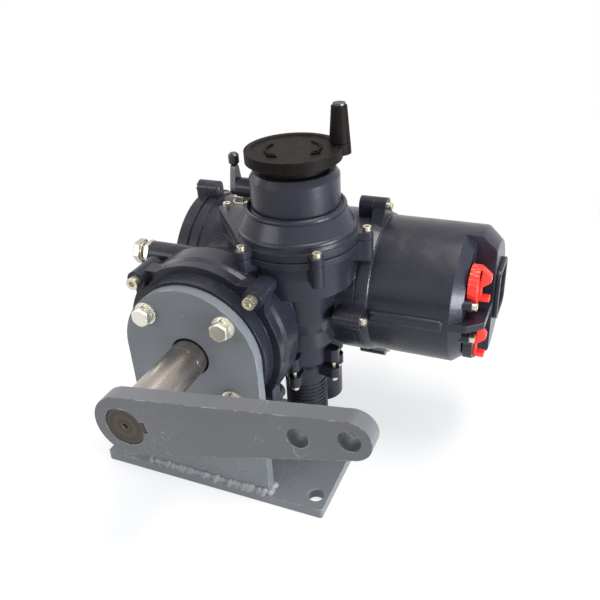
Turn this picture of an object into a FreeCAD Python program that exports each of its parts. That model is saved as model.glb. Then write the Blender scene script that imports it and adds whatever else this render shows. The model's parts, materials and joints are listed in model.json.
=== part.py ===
import FreeCAD, Part
import math
import os
import Sketcher
from FreeCAD import Placement, Rotation, Vector

# Electric quarter-turn valve actuator on a welded foot stand.
# Origin: centre of the foot's bolt pattern, on the underside. X runs along the lever,
# -Y faces the viewer of the lever side, +Z is up. Lengths in millimetres, angles in degrees.

sizes = {
    # welded stand
    "baseWidth": 276, "baseDepth": 163, "baseThickness": 12, "baseCorner": 3,
    "basePitchAcross": 248, "basePitchDeep": 125, "baseHoleRadius": 9,
    "plateLedge": 3.5, "plateThickness": 12, "archRadius": 75.5, "plateBoreRadius": 21.6,
    "frontWeld": 3.2, "frontWeldHeight": 8, "rearWeld": 8,
    # fixing bolts between stand and gearbox
    "fixingPitch": 88.4, "fixingHoleRadius": 6.75, "fixingRadius": 6, "fixingDepth": 16,
    "fixingHeadFlats": 18, "fixingHeadHeight": 7.5, "springWasherRadius": 10.4,
    "springWasherThickness": 3, "springWasherSlit": 1.6, "flatWasherRadius": 12, "flatWasherThickness": 2.5,
    # fits
    "runningFit": 0.05, "seatGap": 0.3, "screwFit": 0.05, "screwPlay": 0.4,
    # output shaft and lever
    "shaftHeight": 178, "shaftRadius": 20, "shaftRecess": 0.7, "shaftRearRadius": 17.5,
    "shaftCentreRadius": 3, "shaftCentreDepth": 5, "shaftChamfer": 1,
    "shaftGrooveAhead": 15, "shaftGrooveWidth": 1.6, "shaftGrooveDepth": 0.6,
    "keyWidth": 12, "keyHeight": 8, "leverKeyLength": 17, "wheelKeyLength": 56,
    "leverAngle": 12.1, "leverBackAhead": 98, "leverThickness": 17.2, "leverHubRadius": 31.8,
    "leverTipRadius": 18.3, "leverNearHole": 172.5, "leverFarHole": 215.8, "leverHoleRadius": 9.5,
    # gearbox cover and split flange
    "coverBossRadius": 79, "coverDepth": 28, "coverFlangeThickness": 11, "flangeRadius": 88,
    "flangeSquare": 150, "flangeCorner": 10, "splitScrewOffset": 66, "splitLugRadius": 10.5,
    "splitLugLength": 19.5, "spigotRadius": 80, "spigotLength": 6, "coverHollowRadius": 70,
    "coverHollowDepth": 6, "sealRadius": 30, "sealLength": 7.5, "bushRadius": 24,
    "bigScrewRadius": 4, "bigScrewHeadRadius": 6.5, "bigScrewHeadHeight": 8, "bigScrewLength": 36,
    "bigSocketFlats": 6, "bigSocketDepth": 4,
    # main housing, gear end
    "housingFlangeThickness": 7, "drumRadius": 90, "drumDepth": 34, "drumRound": 5, "waistRadius": 76,
    "waistStart": 60, "gearboxDepth": 112, "rearWall": 10, "spigotBoreDepth": 10,
    "quadrantChamberRadius": 74, "quadrantChamberDepth": 56, "wheelChamberRadius": 66.5,
    # stops
    "stopSetback": 40, "stopRise": 68, "stopBossRadius": 13, "stopBossReach": 82, "stopRadius": 8,
    "stopHexFlats": 24, "stopHeadHeight": 10, "stopNutHeight": 10, "quadrantRadius": 72,
    "quadrantHalfAngle": 60.8, "swingAngle": 45, "quadrantThickness": 16, "quadrantHubRadius": 30,
    # worm gear
    "gearModule": 2.5, "wheelTeeth": 49, "wormPitchRadius": 13.75, "wormThreadTurns": 4,
    "wheelSetback": 77, "wheelWidth": 30, "wheelHalfAngle": 62, "wheelHubRadius": 34, "wheelWebThickness": 14,
    "wheelRimRadius": 52, "threadHalfWidth": 1.4, "slotHalfWidth": 2.3, "flankSlope": 0.364,
    "wormShaftRadius": 9, "wormCoreRadius": 10.4, "wormBoreRadius": 17.5, "wormBearingRadius": 20,
    "wormBearingWidth": 13, "wormBearingDistance": 34,
    # worm column
    "capSeatRise": 91, "columnRadius": 58.5, "columnFootRise": 46, "columnFlangeRadius": 65,
    "columnFlangeThickness": 7, "farScrewReach": 104.8, "farScrewAngle": 161.65, "farLugRadius": 9,
    "tubeRadius": 38, "tubeFootRise": 4, "tubeNeckRadius": 32, "tubeNeckDrop": 12,
    "tubeFootRadius": 35, "tubeEndDrop": 30, "motorSeatDrop": 52, "motorEarStart": 9,
    "capScrewCircle": 71.5, "capLugRadius": 6.5, "capLugDepth": 22,
    "fillerSetX": -17, "fillerSetback": 133, "fillerBossRadius": 11, "fillerBossTopRise": 97,
    "fillerHeadFlats": 17, "fillerHeadHeight": 7,
    "fillerFlangeRadius": 10.5, "fillerFlangeHeight": 2.5, "fillerPlugRadius": 6, "fillerPlugLength": 12,
    # electrics housing
    "electricsSetback": 155, "electricsRise": 9, "electricsRadius": 80, "electricsRight": 134,
    "electricsLeft": 70, "terminalFlangeRadius": 82, "terminalFlangeThickness": 12,
    "electricsLugCircle": 92, "electricsLugRadius": 9, "electricsLugLength": 16,
    "controlHollowRadius": 69, "controlHollowDepth": 28, "terminalHollowRadius": 46,
    "terminalHollowDepth": 25, "lobeX": 72, "lobeSetback": 133, "lobeRadius": 25, "lobeBottom": 32,
    "lobeTop": 130, "conduitX": -42, "conduitBossRadius": 17, "conduitBossBottom": 96,
    "conduitSpread": 46, "conduitPlugRadius": 12.5, "conduitPlugLength": 12, "conduitHeadFlats": 27,
    "conduitHeadHeight": 7,
    # small screws
    "smallScrewRadius": 2.5, "smallHeadRadius": 4.25, "smallHeadHeight": 5, "smallScrewDepth": 14,
    "smallSocketFlats": 4, "smallSocketDepth": 2.5,
    # motor
    "motorCollarRadius": 30, "motorShoulderLength": 12, "motorNeckRadius": 22.7,
    "motorRibStart": 34, "motorLength": 92, "motorRibRadius": 24.2,
    "motorRibPitch": 5.2, "motorRibThickness": 2.4, "motorRibCount": 11, "motorWall": 3.2,
    "motorTieCircle": 38, "motorTieRadius": 2.5, "motorTieHeadRadius": 4.2, "motorTieDepth": 8,
    "motorTieHeadHeight": 5, "motorEarRadius": 6.5, "motorEarThickness": 12,
    "statorStart": 22, "statorEnd": 74, "statorInnerRadius": 14.8, "rotorRadius": 14, "rotorInset": 3,
    "motorShaftRadius": 6, "motorShaftEnd": 80,
    # handwheel cap
    "gasketThickness": 0.8, "capFlangeThickness": 8, "capFlangeRadius": 63.4, "capShoulderRadius": 61,
    "capShoulderStart": 14, "capShoulderEnd": 34, "capShoulderTopRadius": 50.5, "capNeckRadius": 45.3,
    "capNeckStart": 37, "capNeckEnd": 67, "capTopRadius": 41, "capTopEnd": 74, "capHollowRadius": 38,
    "capTopWall": 13, "capBushRadius": 12,
    # clutch
    "clutchTravel": 5.2, "clutchConeRadius": 15, "clutchConeTopRadius": 11, "clutchConeHeight": 10,
    "clutchSleeveRadius": 17, "clutchGrooveRadius": 13, "clutchShaftRise": 139, "clutchShaftRadius": 5,
    "clutchBossRadius": 10, "clutchBossX": 12, "clutchPinOffset": 9, "clutchPinRadius": 3,
    "clutchPinTipX": 62.3, "clutchWebX": 57, "clutchWebThickness": 3, "clutchGroovePlay": 0.35,
    "clutchSleeveAbove": 8, "clutchFlatHalf": 6.5, "clutchConeGap": 0.08,
    "clutchHubRadius": 8.5, "clutchArmThickness": 6, "clutchArmLength": 20, "clutchArmTipRadius": 4,
    "clutchKnobRadius": 5.5, "clutchKnobLength": 12,
    # handwheel
    "handwheelGap": 0.5, "handwheelSkirtRadius": 40, "handwheelSkirtHeight": 9, "handwheelRadius": 48.1,
    "handwheelThickness": 10.7, "handwheelRim": 6, "handwheelDish": 2.2, "handwheelBossRadius": 15,
    "handShaftRadius": 8, "handShaftTopGap": 4,
    "crankAngle": 33, "crankReach": 46.5, "crankLugRadius": 11, "crankPinRadius": 4, "gripRadius": 9.5,
    "gripTopRadius": 7.6, "gripLength": 38, "gripHeadRadius": 6.2,
    # display cover
    "displayFlangeThickness": 14, "displayBarrelRadius": 76.3, "displayEnd": 268, "displayNoseRadius": 62,
    "displayNoseLength": 16, "displayHollowRadius": 69, "displayHollowEnd": 228,
    "bayShoulderX": 246, "bayInnerSetback": 142, "bayRibHalf": 4, "knobSetback": 117, "knobRise": 34,
    "knobRadius": 20, "knobGap": 1.5, "knobDiscThickness": 9.5, "knobGripHeight": 11, "knobGripWidth": 9,
    "knobSpindleRadius": 6, "knobSpindleLength": 12,
    "bayScrewSetback": 95, "bayScrewRise": 19, "bayBossRadius": 6, "bayBossHeight": 8.5,
    "sideRidgeHalf": 5, "sideRidgeProud": 3, "sideRidgeStart": 158, "sideRidgeEnd": 228,
    "bezelThickness": 6, "bezelInnerSetback": 150, "bezelOuterSetback": 202, "bezelDrop": 29,
    "bezelHeight": 60, "bezelFrame": 6, "bezelCorner": 6, "windowThickness": 2.5,
    "screenMargin": 3, "screenDepth": 6,
    # terminal cover
    "terminalCoverThickness": 14, "terminalCoverRadius": 84, "terminalStepRadius": 74,
    "terminalStepHeight": 3, "terminalCoverHollow": 6,
    # inner boards
    "boardRadius": 62, "boardThickness": 1.6, "boardStandoff": 14, "boardPostRadius": 4,
    "boardPostCircle": 52, "terminalBlockWidth": 60, "terminalBlockHeight": 22,
    "terminalBlockDepth": 18, "terminalWays": 8,
}

document = FreeCAD.newDocument("valve_actuator")
sheet = document.addObject("Spreadsheet::Sheet", "dims")
for row, (name, value) in enumerate(sizes.items(), start=1):
    sheet.set(f"A{row}", name)
    sheet.set(f"B{row}", str(value))
    sheet.setAlias(f"B{row}", name)
document.recompute()


def textOf(value):
    return value.text if isinstance(value, Size) else repr(value)


class Size:
    # A length or angle kept as an expression over the sheet, so that it can be bound to a property
    def __init__(self, text):
        self.text = text

    def __add__(self, other):
        return Size(f"({self.text} + {textOf(other)})")

    def __radd__(self, other):
        return Size(f"({textOf(other)} + {self.text})")

    def __sub__(self, other):
        return Size(f"({self.text} - {textOf(other)})")

    def __rsub__(self, other):
        return Size(f"({textOf(other)} - {self.text})")

    def __mul__(self, other):
        return Size(f"({self.text} * {textOf(other)})")

    def __rmul__(self, other):
        return Size(f"({textOf(other)} * {self.text})")

    def __truediv__(self, other):
        return Size(f"({self.text} / {textOf(other)})")

    def __rtruediv__(self, other):
        return Size(f"({textOf(other)} / {self.text})")

    def __neg__(self):
        return Size(f"(-1 * {self.text})")

    def __float__(self):
        return float(sheet.evalExpression(self.text))


class Sheet:
    # Gives every alias of the sheet as a Size
    def __getattr__(self, name):
        if name not in sizes:
            raise AttributeError(name)
        return Size("dims." + name)


dim = Sheet()


def function(name, value):
    return Size(f"{name}({textOf(value)})")


def sine(angle):
    return function("sin", angle)


def cosine(angle):
    return function("cos", angle)


def squareRoot(value):
    return function("sqrt", value)


# Features inside a body

built = []
primitiveTurns = {"X": Rotation(Vector(0, 1, 0), 90), "Y": Rotation(Vector(1, 0, 0), -90), "Z": Rotation()}
sketchPlanes = {"X": "YZ_Plane", "Y": "XZ_Plane", "Z": "XY_Plane"}


def newBody(label, kept=True):
    body = document.addObject("PartDesign::Body", label)
    body.Label = label
    if kept:
        built.append(body)
    return body


def bind(item, name, value):
    item.setExpression(name, textOf(value))


def place(item, axis, centre, start):
    # Puts an item at a start on an axis line; centre holds the line's other two coordinates
    spots = dict(zip([letter for letter in "XYZ" if letter != axis], centre))
    spots[axis] = start
    for letter in "XYZ":
        bind(item, "Placement.Base." + letter.lower(), spots[letter])


def primitive(body, kind, cut):
    prefix = "Subtractive" if cut else "Additive"
    return body.newObject(f"PartDesign::{prefix}{kind}", kind)


def rod(body, axis, centre, start, end, radius, cut=False):
    item = primitive(body, "Cylinder", cut)
    item.Placement = Placement(Vector(), primitiveTurns[axis])
    place(item, axis, centre, start)
    bind(item, "Radius", radius)
    bind(item, "Height", end - start)
    return item


def cone(body, axis, centre, start, end, startRadius, endRadius, cut=False):
    item = primitive(body, "Cone", cut)
    item.Placement = Placement(Vector(), primitiveTurns[axis])
    place(item, axis, centre, start)
    bind(item, "Radius1", startRadius)
    bind(item, "Radius2", endRadius)
    bind(item, "Height", end - start)
    return item


def hexagon(body, axis, centre, start, end, flats, cut=False):
    item = primitive(body, "Prism", cut)
    item.Placement = Placement(Vector(), primitiveTurns[axis])
    place(item, axis, centre, start)
    item.Polygon = 6
    bind(item, "Circumradius", flats / (2 * cosine(30)))
    bind(item, "Height", end - start)
    return item


def block(body, x, y, z, cut=False):
    # x, y and z are each a pair of start and end
    item = primitive(body, "Box", cut)
    for letter, span, length in (("x", x, "Length"), ("y", y, "Width"), ("z", z, "Height")):
        bind(item, "Placement.Base." + letter, span[0])
        bind(item, length, span[1] - span[0])
    return item


def sketchOn(body, plane, offset):
    # A sketch on one of the body's own origin planes; offset is measured in the sketch's axes
    sketch = body.newObject("Sketcher::SketchObject", "Sketch")
    support = [item for item in body.Origin.OriginFeatures if item.Role == plane][0]
    sketch.AttachmentSupport = [(support, "")]
    sketch.MapMode = "FlatFace"
    for letter, value in zip("xyz", offset):
        bind(sketch, "AttachmentOffset.Base." + letter, value)
    return sketch


def hold(sketch, kind, geometry, point, value):
    # Fixes a point of the geometry at a distance from the sketch's origin
    index = sketch.addConstraint(Sketcher.Constraint(kind, -1, 1, geometry, point, float(value)))
    sketch.setExpression(f"Constraints[{index}]", textOf(value))


def drawPolygon(sketch, points):
    corners = [Vector(float(across), float(up), 0) for across, up in points]
    count = len(corners)
    lines = [sketch.addGeometry(Part.LineSegment(corners[i], corners[(i + 1) % count])) for i in range(count)]
    for i in range(count):
        sketch.addConstraint(Sketcher.Constraint("Coincident", lines[i], 2, lines[(i + 1) % count], 1))
    for line, (across, up) in zip(lines, points):
        hold(sketch, "DistanceX", line, 1, across)
        hold(sketch, "DistanceY", line, 1, up)


def extrude(body, axis, start, end, points, cut=False):
    # A closed outline, drawn across the axis, raised from start to end along it
    level = -start if axis == "Y" else start
    sketch = sketchOn(body, sketchPlanes[axis], (0, 0, level))
    drawPolygon(sketch, points)
    item = body.newObject("PartDesign::Pocket" if cut else "PartDesign::Pad", "Extrusion")
    item.Profile = (sketch, [""])
    bind(item, "Length", end - start)
    item.Reversed = (axis == "Y") != cut
    return item


def turn(body, axis, centre, profile, cut=False):
    # A closed outline of (along, radius) points turned about an axis line
    first, second = centre
    if axis == "X":
        sketch = sketchOn(body, "XY_Plane", (0, first, second))
        drawPolygon(sketch, profile)
    else:
        offset = (first, 0, second) if axis == "Y" else (first, 0, -second)
        sketch = sketchOn(body, "XY_Plane" if axis == "Y" else "XZ_Plane", offset)
        drawPolygon(sketch, [(radius, along) for along, radius in profile])
    item = body.newObject("PartDesign::Groove" if cut else "PartDesign::Revolution", "Turned")
    item.Profile = (sketch, [""])
    item.ReferenceAxis = (sketch, ["H_Axis" if axis == "X" else "V_Axis"])
    item.Angle = 360
    return item


def ring(body, axis, centre, start, end, radius, boreRadius):
    rod(body, axis, centre, start, end, radius)
    rod(body, axis, centre, start, end, boreRadius, cut=True)


def finishEdges(body, kind, size, chosen):
    # Rounds or chamfers the edges of the body so far for which chosen(edge) is true
    document.recompute()
    base = body.Tip
    names = [f"Edge{i}" for i, edge in enumerate(base.Shape.Edges, start=1) if chosen(edge)]
    item = body.newObject("PartDesign::" + kind, kind)
    item.Base = (base, names)
    bind(item, "Radius" if kind == "Fillet" else "Size", size)


def middle(edge):
    return edge.CenterOfMass


def isAlong(edge, axis):
    direction = {"X": Vector(1, 0, 0), "Y": Vector(0, 1, 0), "Z": Vector(0, 0, 1)}[axis]
    if not isinstance(edge.Curve, (Part.Line, Part.LineSegment)):
        return False
    return abs(edge.tangentAt(edge.FirstParameter).dot(direction)) > 0.999


def near(value, wanted):
    return abs(value - float(wanted)) < 0.01


def rectangle(across, up):
    return [(across[0], up[0]), (across[1], up[0]), (across[1], up[1]), (across[0], up[1])]


def taper(centre, radius, tipRadius, length, angle):
    # The four tangent points of two circles, the second at a length and angle from the first
    lean = (radius - tipRadius) / length
    side = squareRoot(1 - lean * lean)
    cos, sin = cosine(angle), sine(angle)
    points = []
    for size, reach, sign in ((radius, 0, 1), (tipRadius, length, 1), (tipRadius, length, -1), (radius, 0, -1)):
        along = reach + size * lean
        beside = sign * size * side
        points.append((centre[0] + along * cos - beside * sin, centre[1] + along * sin + beside * cos))
    return points


def tapered(body, axis, centre, start, end, radius, tipRadius, length, angle):
    # A plate with the outline of two circles and their common tangents
    tip = (centre[0] + length * cosine(angle), centre[1] + length * sine(angle))
    rod(body, axis, centre, start, end, radius)
    rod(body, axis, tip, start, end, tipRadius)
    extrude(body, axis, start, end, taper(centre, radius, tipRadius, length, angle))
    return tip


def ear(body, axis, centre, start, end, radius, reach, angle):
    # A screw lug at a reach and angle from an axis, with the straight bar that joins it to the round part
    tip = (centre[0] + reach * cosine(angle), centre[1] + reach * sine(angle))
    rod(body, axis, tip, start, end, radius)
    extrude(body, axis, start, end, taper(centre, radius, radius, reach, angle))


def span(seat, outward, length):
    return (seat, seat + length) if outward > 0 else (seat - length, seat)


def socketScrew(body, axis, centre, seat, outward, big=False, length=None):
    # A socket head screw whose head stands outward (+1 or -1) from its seat
    radius = dim.bigScrewRadius if big else dim.smallScrewRadius
    headRadius = dim.bigScrewHeadRadius if big else dim.smallHeadRadius
    headHeight = dim.bigScrewHeadHeight if big else dim.smallHeadHeight
    flats = dim.bigSocketFlats if big else dim.smallSocketFlats
    depth = dim.bigSocketDepth if big else dim.smallSocketDepth
    top = seat + outward * headHeight
    rod(body, axis, centre, *span(seat, outward, headHeight), headRadius)
    rod(body, axis, centre, *span(seat, -outward, length), radius - dim.screwFit)
    hexagon(body, axis, centre, *span(top, -outward, depth), flats, cut=True)


def polar(centre, radius, angle):
    return (centre[0] + radius * cosine(angle), centre[1] + radius * sine(angle))


# Places shared by several pieces

shaftAxis = (0, dim.shaftHeight)
plateFront = -dim.baseDepth / 2 + dim.plateLedge
coverFace = plateFront + dim.plateThickness
splitFace = coverFace + dim.coverDepth
housingRear = splitFace + dim.gearboxDepth
wheelPlane = splitFace + dim.wheelSetback
wheelPitchRadius = dim.gearModule * dim.wheelTeeth / 2
wormX = wheelPitchRadius + dim.wormPitchRadius
wormAxis = (wormX, wheelPlane)
electricsAxis = (splitFace + dim.electricsSetback, dim.shaftHeight + dim.electricsRise)
capSeat = dim.shaftHeight + dim.capSeatRise
motorSeat = dim.shaftHeight - dim.motorSeatDrop
capBottom = capSeat + dim.gasketThickness
capTop = capSeat + dim.capTopEnd
stopY = splitFace + dim.stopSetback
leverBack = plateFront - dim.leverBackAhead
leverFront = leverBack - dim.leverThickness
farScrew = polar(wormAxis, dim.farScrewReach, dim.farScrewAngle)
tieAngles = (-10, 32, -85)
tieSpots = [polar(wormAxis, dim.motorTieCircle, angle) for angle in tieAngles]
capScrewAngles = (-117.6, -52.4, 11.3, 76, 141)
capScrewSpots = [polar(wormAxis, dim.capScrewCircle, angle) for angle in capScrewAngles] + [farScrew]
fixingSpots = [(x * dim.fixingPitch / 2, dim.shaftHeight + z * dim.fixingPitch / 2)
               for x in (-1, 1) for z in (-1, 1)]
splitSpots = [(x * dim.splitScrewOffset, dim.shaftHeight + z * dim.splitScrewOffset)
              for x in (-1, 1) for z in (-1, 1)]
lugDirections = ((1, 0), (0, 1), (-1, 0), (0, -1))
lugSpots = [(electricsAxis[0] + y * dim.electricsLugCircle, electricsAxis[1] + z * dim.electricsLugCircle)
            for y, z in lugDirections]
displayFlangeEnd = dim.electricsRight + dim.displayFlangeThickness
terminalFace = -dim.electricsLeft
terminalOuter = terminalFace - dim.terminalCoverThickness


# Welded stand

def makeBasePlate():
    body = newBody("base_plate")
    width, depth = dim.baseWidth / 2, dim.baseDepth / 2
    block(body, (-width, width), (-depth, depth), (0, dim.baseThickness))
    for x in (-1, 1):
        for y in (-1, 1):
            spot = (x * dim.basePitchAcross / 2, y * dim.basePitchDeep / 2)
            rod(body, "Z", spot, 0, dim.baseThickness, dim.baseHoleRadius, cut=True)
    finishEdges(body, "Fillet", dim.baseCorner,
                lambda edge: isAlong(edge, "Z") and near(abs(middle(edge).x), width))


def makeUprightPlate():
    body = newBody("upright_plate")
    block(body, (-dim.archRadius, dim.archRadius), (plateFront, coverFace), (dim.baseThickness, dim.shaftHeight))
    rod(body, "Y", shaftAxis, plateFront, coverFace, dim.archRadius)
    rod(body, "Y", shaftAxis, plateFront, coverFace, dim.plateBoreRadius, cut=True)
    for spot in fixingSpots:
        rod(body, "Y", spot, plateFront, coverFace, dim.fixingHoleRadius, cut=True)


def makeWelds():
    body = newBody("bracket_welds")
    foot = dim.baseThickness
    beads = ((plateFront, -dim.frontWeld, dim.frontWeldHeight), (coverFace, dim.rearWeld, dim.rearWeld))
    for root, depth, height in beads:
        bulge = (root + depth * 0.62, foot + height * 0.62)
        outline = [(root, foot), (root + depth, foot), bulge, (root, foot + height)]
        extrude(body, "X", -dim.archRadius, dim.archRadius, outline)


# Bolts that hold the gearbox to the upright plate

def makeUprightBolts():
    bolts = newBody("upright_bolts")
    split = newBody("upright_spring_washers")
    flat = newBody("upright_flat_washers")
    flatFront = plateFront - dim.flatWasherThickness
    springFront = flatFront - dim.springWasherThickness
    hole = dim.fixingRadius + dim.seatGap
    for spot in fixingSpots:
        ring(flat, "Y", spot, flatFront, plateFront, dim.flatWasherRadius, hole)
        ring(split, "Y", spot, springFront, flatFront, dim.springWasherRadius, hole)
        slit = dim.springWasherSlit / 2
        block(split, (spot[0] - slit, spot[0] + slit), (springFront, flatFront),
              (spot[1], spot[1] + dim.springWasherRadius + 1), cut=True)
        rod(bolts, "Y", spot, springFront, coverFace + dim.fixingDepth - 1, dim.fixingRadius - dim.screwFit)
        hexagon(bolts, "Y", spot, springFront - dim.fixingHeadHeight, springFront, dim.fixingHeadFlats)


# Output shaft, keys and lever

def keyBlock(body, along, height, angle, fit, cut=False):
    # Half sunk into the shaft at an angle about the shaft axis
    item = primitive(body, "Box", cut)
    item.Placement = Placement(Vector(), Rotation(Vector(0, -1, 0), float(angle)))
    seat = dim.shaftRadius - dim.keyHeight / 2
    cos, sin = cosine(angle), sine(angle)
    half = dim.keyWidth / 2 + fit
    bind(item, "Placement.Rotation.Angle", angle)
    bind(item, "Placement.Base.x", seat * cos + half * sin)
    bind(item, "Placement.Base.y", along[0])
    bind(item, "Placement.Base.z", dim.shaftHeight + seat * sin - half * cos)
    bind(item, "Length", height + fit)
    bind(item, "Width", along[1] - along[0])
    bind(item, "Height", 2 * half)


leverKeySpan = (leverFront + dim.shaftRecess, leverFront + dim.shaftRecess + dim.leverKeyLength)
quadrantSpan = (stopY - dim.quadrantThickness / 2, stopY + dim.quadrantThickness / 2)
wheelSpan = (wheelPlane - dim.wheelWidth / 2, wheelPlane + dim.wheelWidth / 2)
wheelKeySpan = (quadrantSpan[0] + 1, quadrantSpan[0] + 1 + dim.wheelKeyLength)


def makeOutputShaft():
    body = newBody("output_shaft")
    front = leverFront + dim.shaftRecess
    step = housingRear - dim.rearWall
    grooveStart = plateFront - dim.shaftGrooveAhead - dim.shaftGrooveWidth
    grooveEnd = plateFront - dim.shaftGrooveAhead
    low = dim.shaftRadius - dim.shaftGrooveDepth
    bevel = dim.shaftChamfer
    profile = [(front, 0), (front, dim.shaftRadius - bevel), (front + bevel, dim.shaftRadius),
               (grooveStart, dim.shaftRadius), (grooveStart, low), (grooveEnd, low), (grooveEnd, dim.shaftRadius),
               (step, dim.shaftRadius), (step, dim.shaftRearRadius),
               (housingRear - dim.seatGap - 2, dim.shaftRearRadius), (housingRear - dim.seatGap - 2, 0)]
    turn(body, "Y", shaftAxis, profile)
    cone(body, "Y", shaftAxis, front, front + dim.shaftCentreDepth, dim.shaftCentreRadius, 0.2, cut=True)
    keyBlock(body, leverKeySpan, dim.keyHeight, dim.leverAngle, dim.runningFit, cut=True)
    keyBlock(body, wheelKeySpan, dim.keyHeight, 90, dim.runningFit, cut=True)


def makeKeys():
    keyBlock(newBody("lever_key"), leverKeySpan, dim.keyHeight, dim.leverAngle, 0)
    keyBlock(newBody("wheel_key"), wheelKeySpan, dim.keyHeight, 90, 0)


def makeLever():
    body = newBody("lever_arm")
    back = leverBack
    front = leverFront
    tapered(body, "Y", shaftAxis, front, back, dim.leverHubRadius, dim.leverTipRadius, dim.leverFarHole,
            dim.leverAngle)
    rod(body, "Y", shaftAxis, front, back, dim.shaftRadius + dim.runningFit, cut=True)
    for reach in (dim.leverNearHole, dim.leverFarHole):
        rod(body, "Y", polar(shaftAxis, reach, dim.leverAngle), front, back, dim.leverHoleRadius, cut=True)
    keyBlock(body, (front, back), dim.keyHeight, dim.leverAngle, dim.runningFit, cut=True)


# Gearbox cover with its seal, bush and screws

def flangeOutline(body, start, end):
    rod(body, "Y", shaftAxis, start, end, dim.flangeRadius)
    half = dim.flangeSquare / 2
    cut = dim.flangeCorner * 0.6
    up, down = dim.shaftHeight + half, dim.shaftHeight - half
    corners = [(-half + cut, down), (half - cut, down), (half, down + cut), (half, up - cut),
               (half - cut, up), (-half + cut, up), (-half, up - cut), (-half, down + cut)]
    extrude(body, "Y", start, end, corners)


def makeGearCover():
    body = newBody("gear_cover")
    rod(body, "Y", shaftAxis, coverFace, splitFace, dim.coverBossRadius)
    flangeOutline(body, splitFace - dim.coverFlangeThickness, splitFace)
    rod(body, "Y", shaftAxis, splitFace, splitFace + dim.spigotLength, dim.spigotRadius - dim.runningFit)
    for spot in splitSpots:
        rod(body, "Y", spot, splitFace - dim.splitLugLength, splitFace, dim.splitLugRadius)
    sealEnd = coverFace + dim.sealLength
    bore = dim.shaftRadius + 1
    rod(body, "Y", shaftAxis, coverFace, splitFace + dim.spigotLength, bore, cut=True)
    rod(body, "Y", shaftAxis, coverFace, sealEnd, dim.sealRadius, cut=True)
    rod(body, "Y", shaftAxis, sealEnd, splitFace, dim.bushRadius, cut=True)
    rod(body, "Y", shaftAxis, splitFace - dim.coverHollowDepth, splitFace + dim.spigotLength,
        dim.coverHollowRadius, cut=True)
    for spot in fixingSpots:
        rod(body, "Y", spot, coverFace, coverFace + dim.fixingDepth, dim.fixingRadius, cut=True)
    for spot in splitSpots:
        rod(body, "Y", spot, splitFace - dim.splitLugLength, splitFace, dim.bigScrewRadius + dim.screwPlay,
            cut=True)


def makeGearCoverPieces():
    sealEnd = coverFace + dim.sealLength
    ring(newBody("shaft_seal"), "Y", shaftAxis, coverFace + dim.seatGap, sealEnd, dim.sealRadius,
         dim.shaftRadius + dim.runningFit)
    ring(newBody("shaft_bush_front"), "Y", shaftAxis, sealEnd, splitFace - dim.coverHollowDepth,
         dim.bushRadius, dim.shaftRadius + dim.runningFit)
    ring(newBody("shaft_bush_rear"), "Y", shaftAxis, housingRear - dim.rearWall + dim.runningFit,
         housingRear - 2, dim.bushRadius, dim.shaftRearRadius + dim.runningFit)
    screws = newBody("gear_cover_screws")
    for spot in splitSpots:
        socketScrew(screws, "Y", spot, splitFace - dim.splitLugLength, -1, big=True, length=dim.bigScrewLength)


# Main housing: gear end, worm column and electrics housing in one casting

def crossLugs(body, start, end):
    # Four screw lugs on the electrics housing or one of its covers
    half = dim.electricsLugRadius
    for (y, z), spot in zip(lugDirections, lugSpots):
        rod(body, "X", spot, start, end, half)
        if y:
            ySpan = (electricsAxis[0], spot[0]) if y > 0 else (spot[0], electricsAxis[0])
            block(body, (start, end), ySpan, (spot[1] - half, spot[1] + half))
        else:
            zSpan = (electricsAxis[1], spot[1]) if z > 0 else (spot[1], electricsAxis[1])
            block(body, (start, end), (spot[0] - half, spot[0] + half), zSpan)


lobeAxis = (dim.lobeX, splitFace + dim.lobeSetback)
fillerSpot = (dim.fillerSetX, splitFace + dim.fillerSetback)
fillerTop = dim.shaftHeight + dim.fillerBossTopRise
conduitSpots = [(dim.conduitX, electricsAxis[0] + side * dim.conduitSpread / 2) for side in (-1, 1)]
conduitBottom = dim.conduitBossBottom


def formGearEnd():
    body = newBody("gear_end_form", kept=False)
    flangeOutline(body, splitFace, splitFace + dim.housingFlangeThickness)
    drumEnd = splitFace + dim.drumDepth
    profile = [(splitFace, 0), (splitFace, dim.flangeRadius), (splitFace + dim.drumRound, dim.drumRadius),
               (drumEnd - dim.drumRound, dim.drumRadius), (drumEnd, dim.drumRadius - dim.drumRound / 2),
               (splitFace + dim.waistStart, dim.waistRadius), (housingRear, dim.waistRadius), (housingRear, 0)]
    turn(body, "Y", shaftAxis, profile)
    for spot in splitSpots:
        rod(body, "Y", spot, splitFace, splitFace + dim.drumDepth / 2, dim.splitLugRadius)
    for side in (-1, 1):
        spot = (stopY, dim.shaftHeight + side * dim.stopRise)
        rod(body, "X", spot, -dim.stopBossReach, 0, dim.stopBossRadius)
    # Room for the terminal cover and its screw lugs beside the gear end
    room = dim.electricsLugCircle + dim.electricsLugRadius + 1
    rod(body, "X", electricsAxis, terminalOuter - dim.terminalStepHeight, terminalFace, room, cut=True)
    return body


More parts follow.
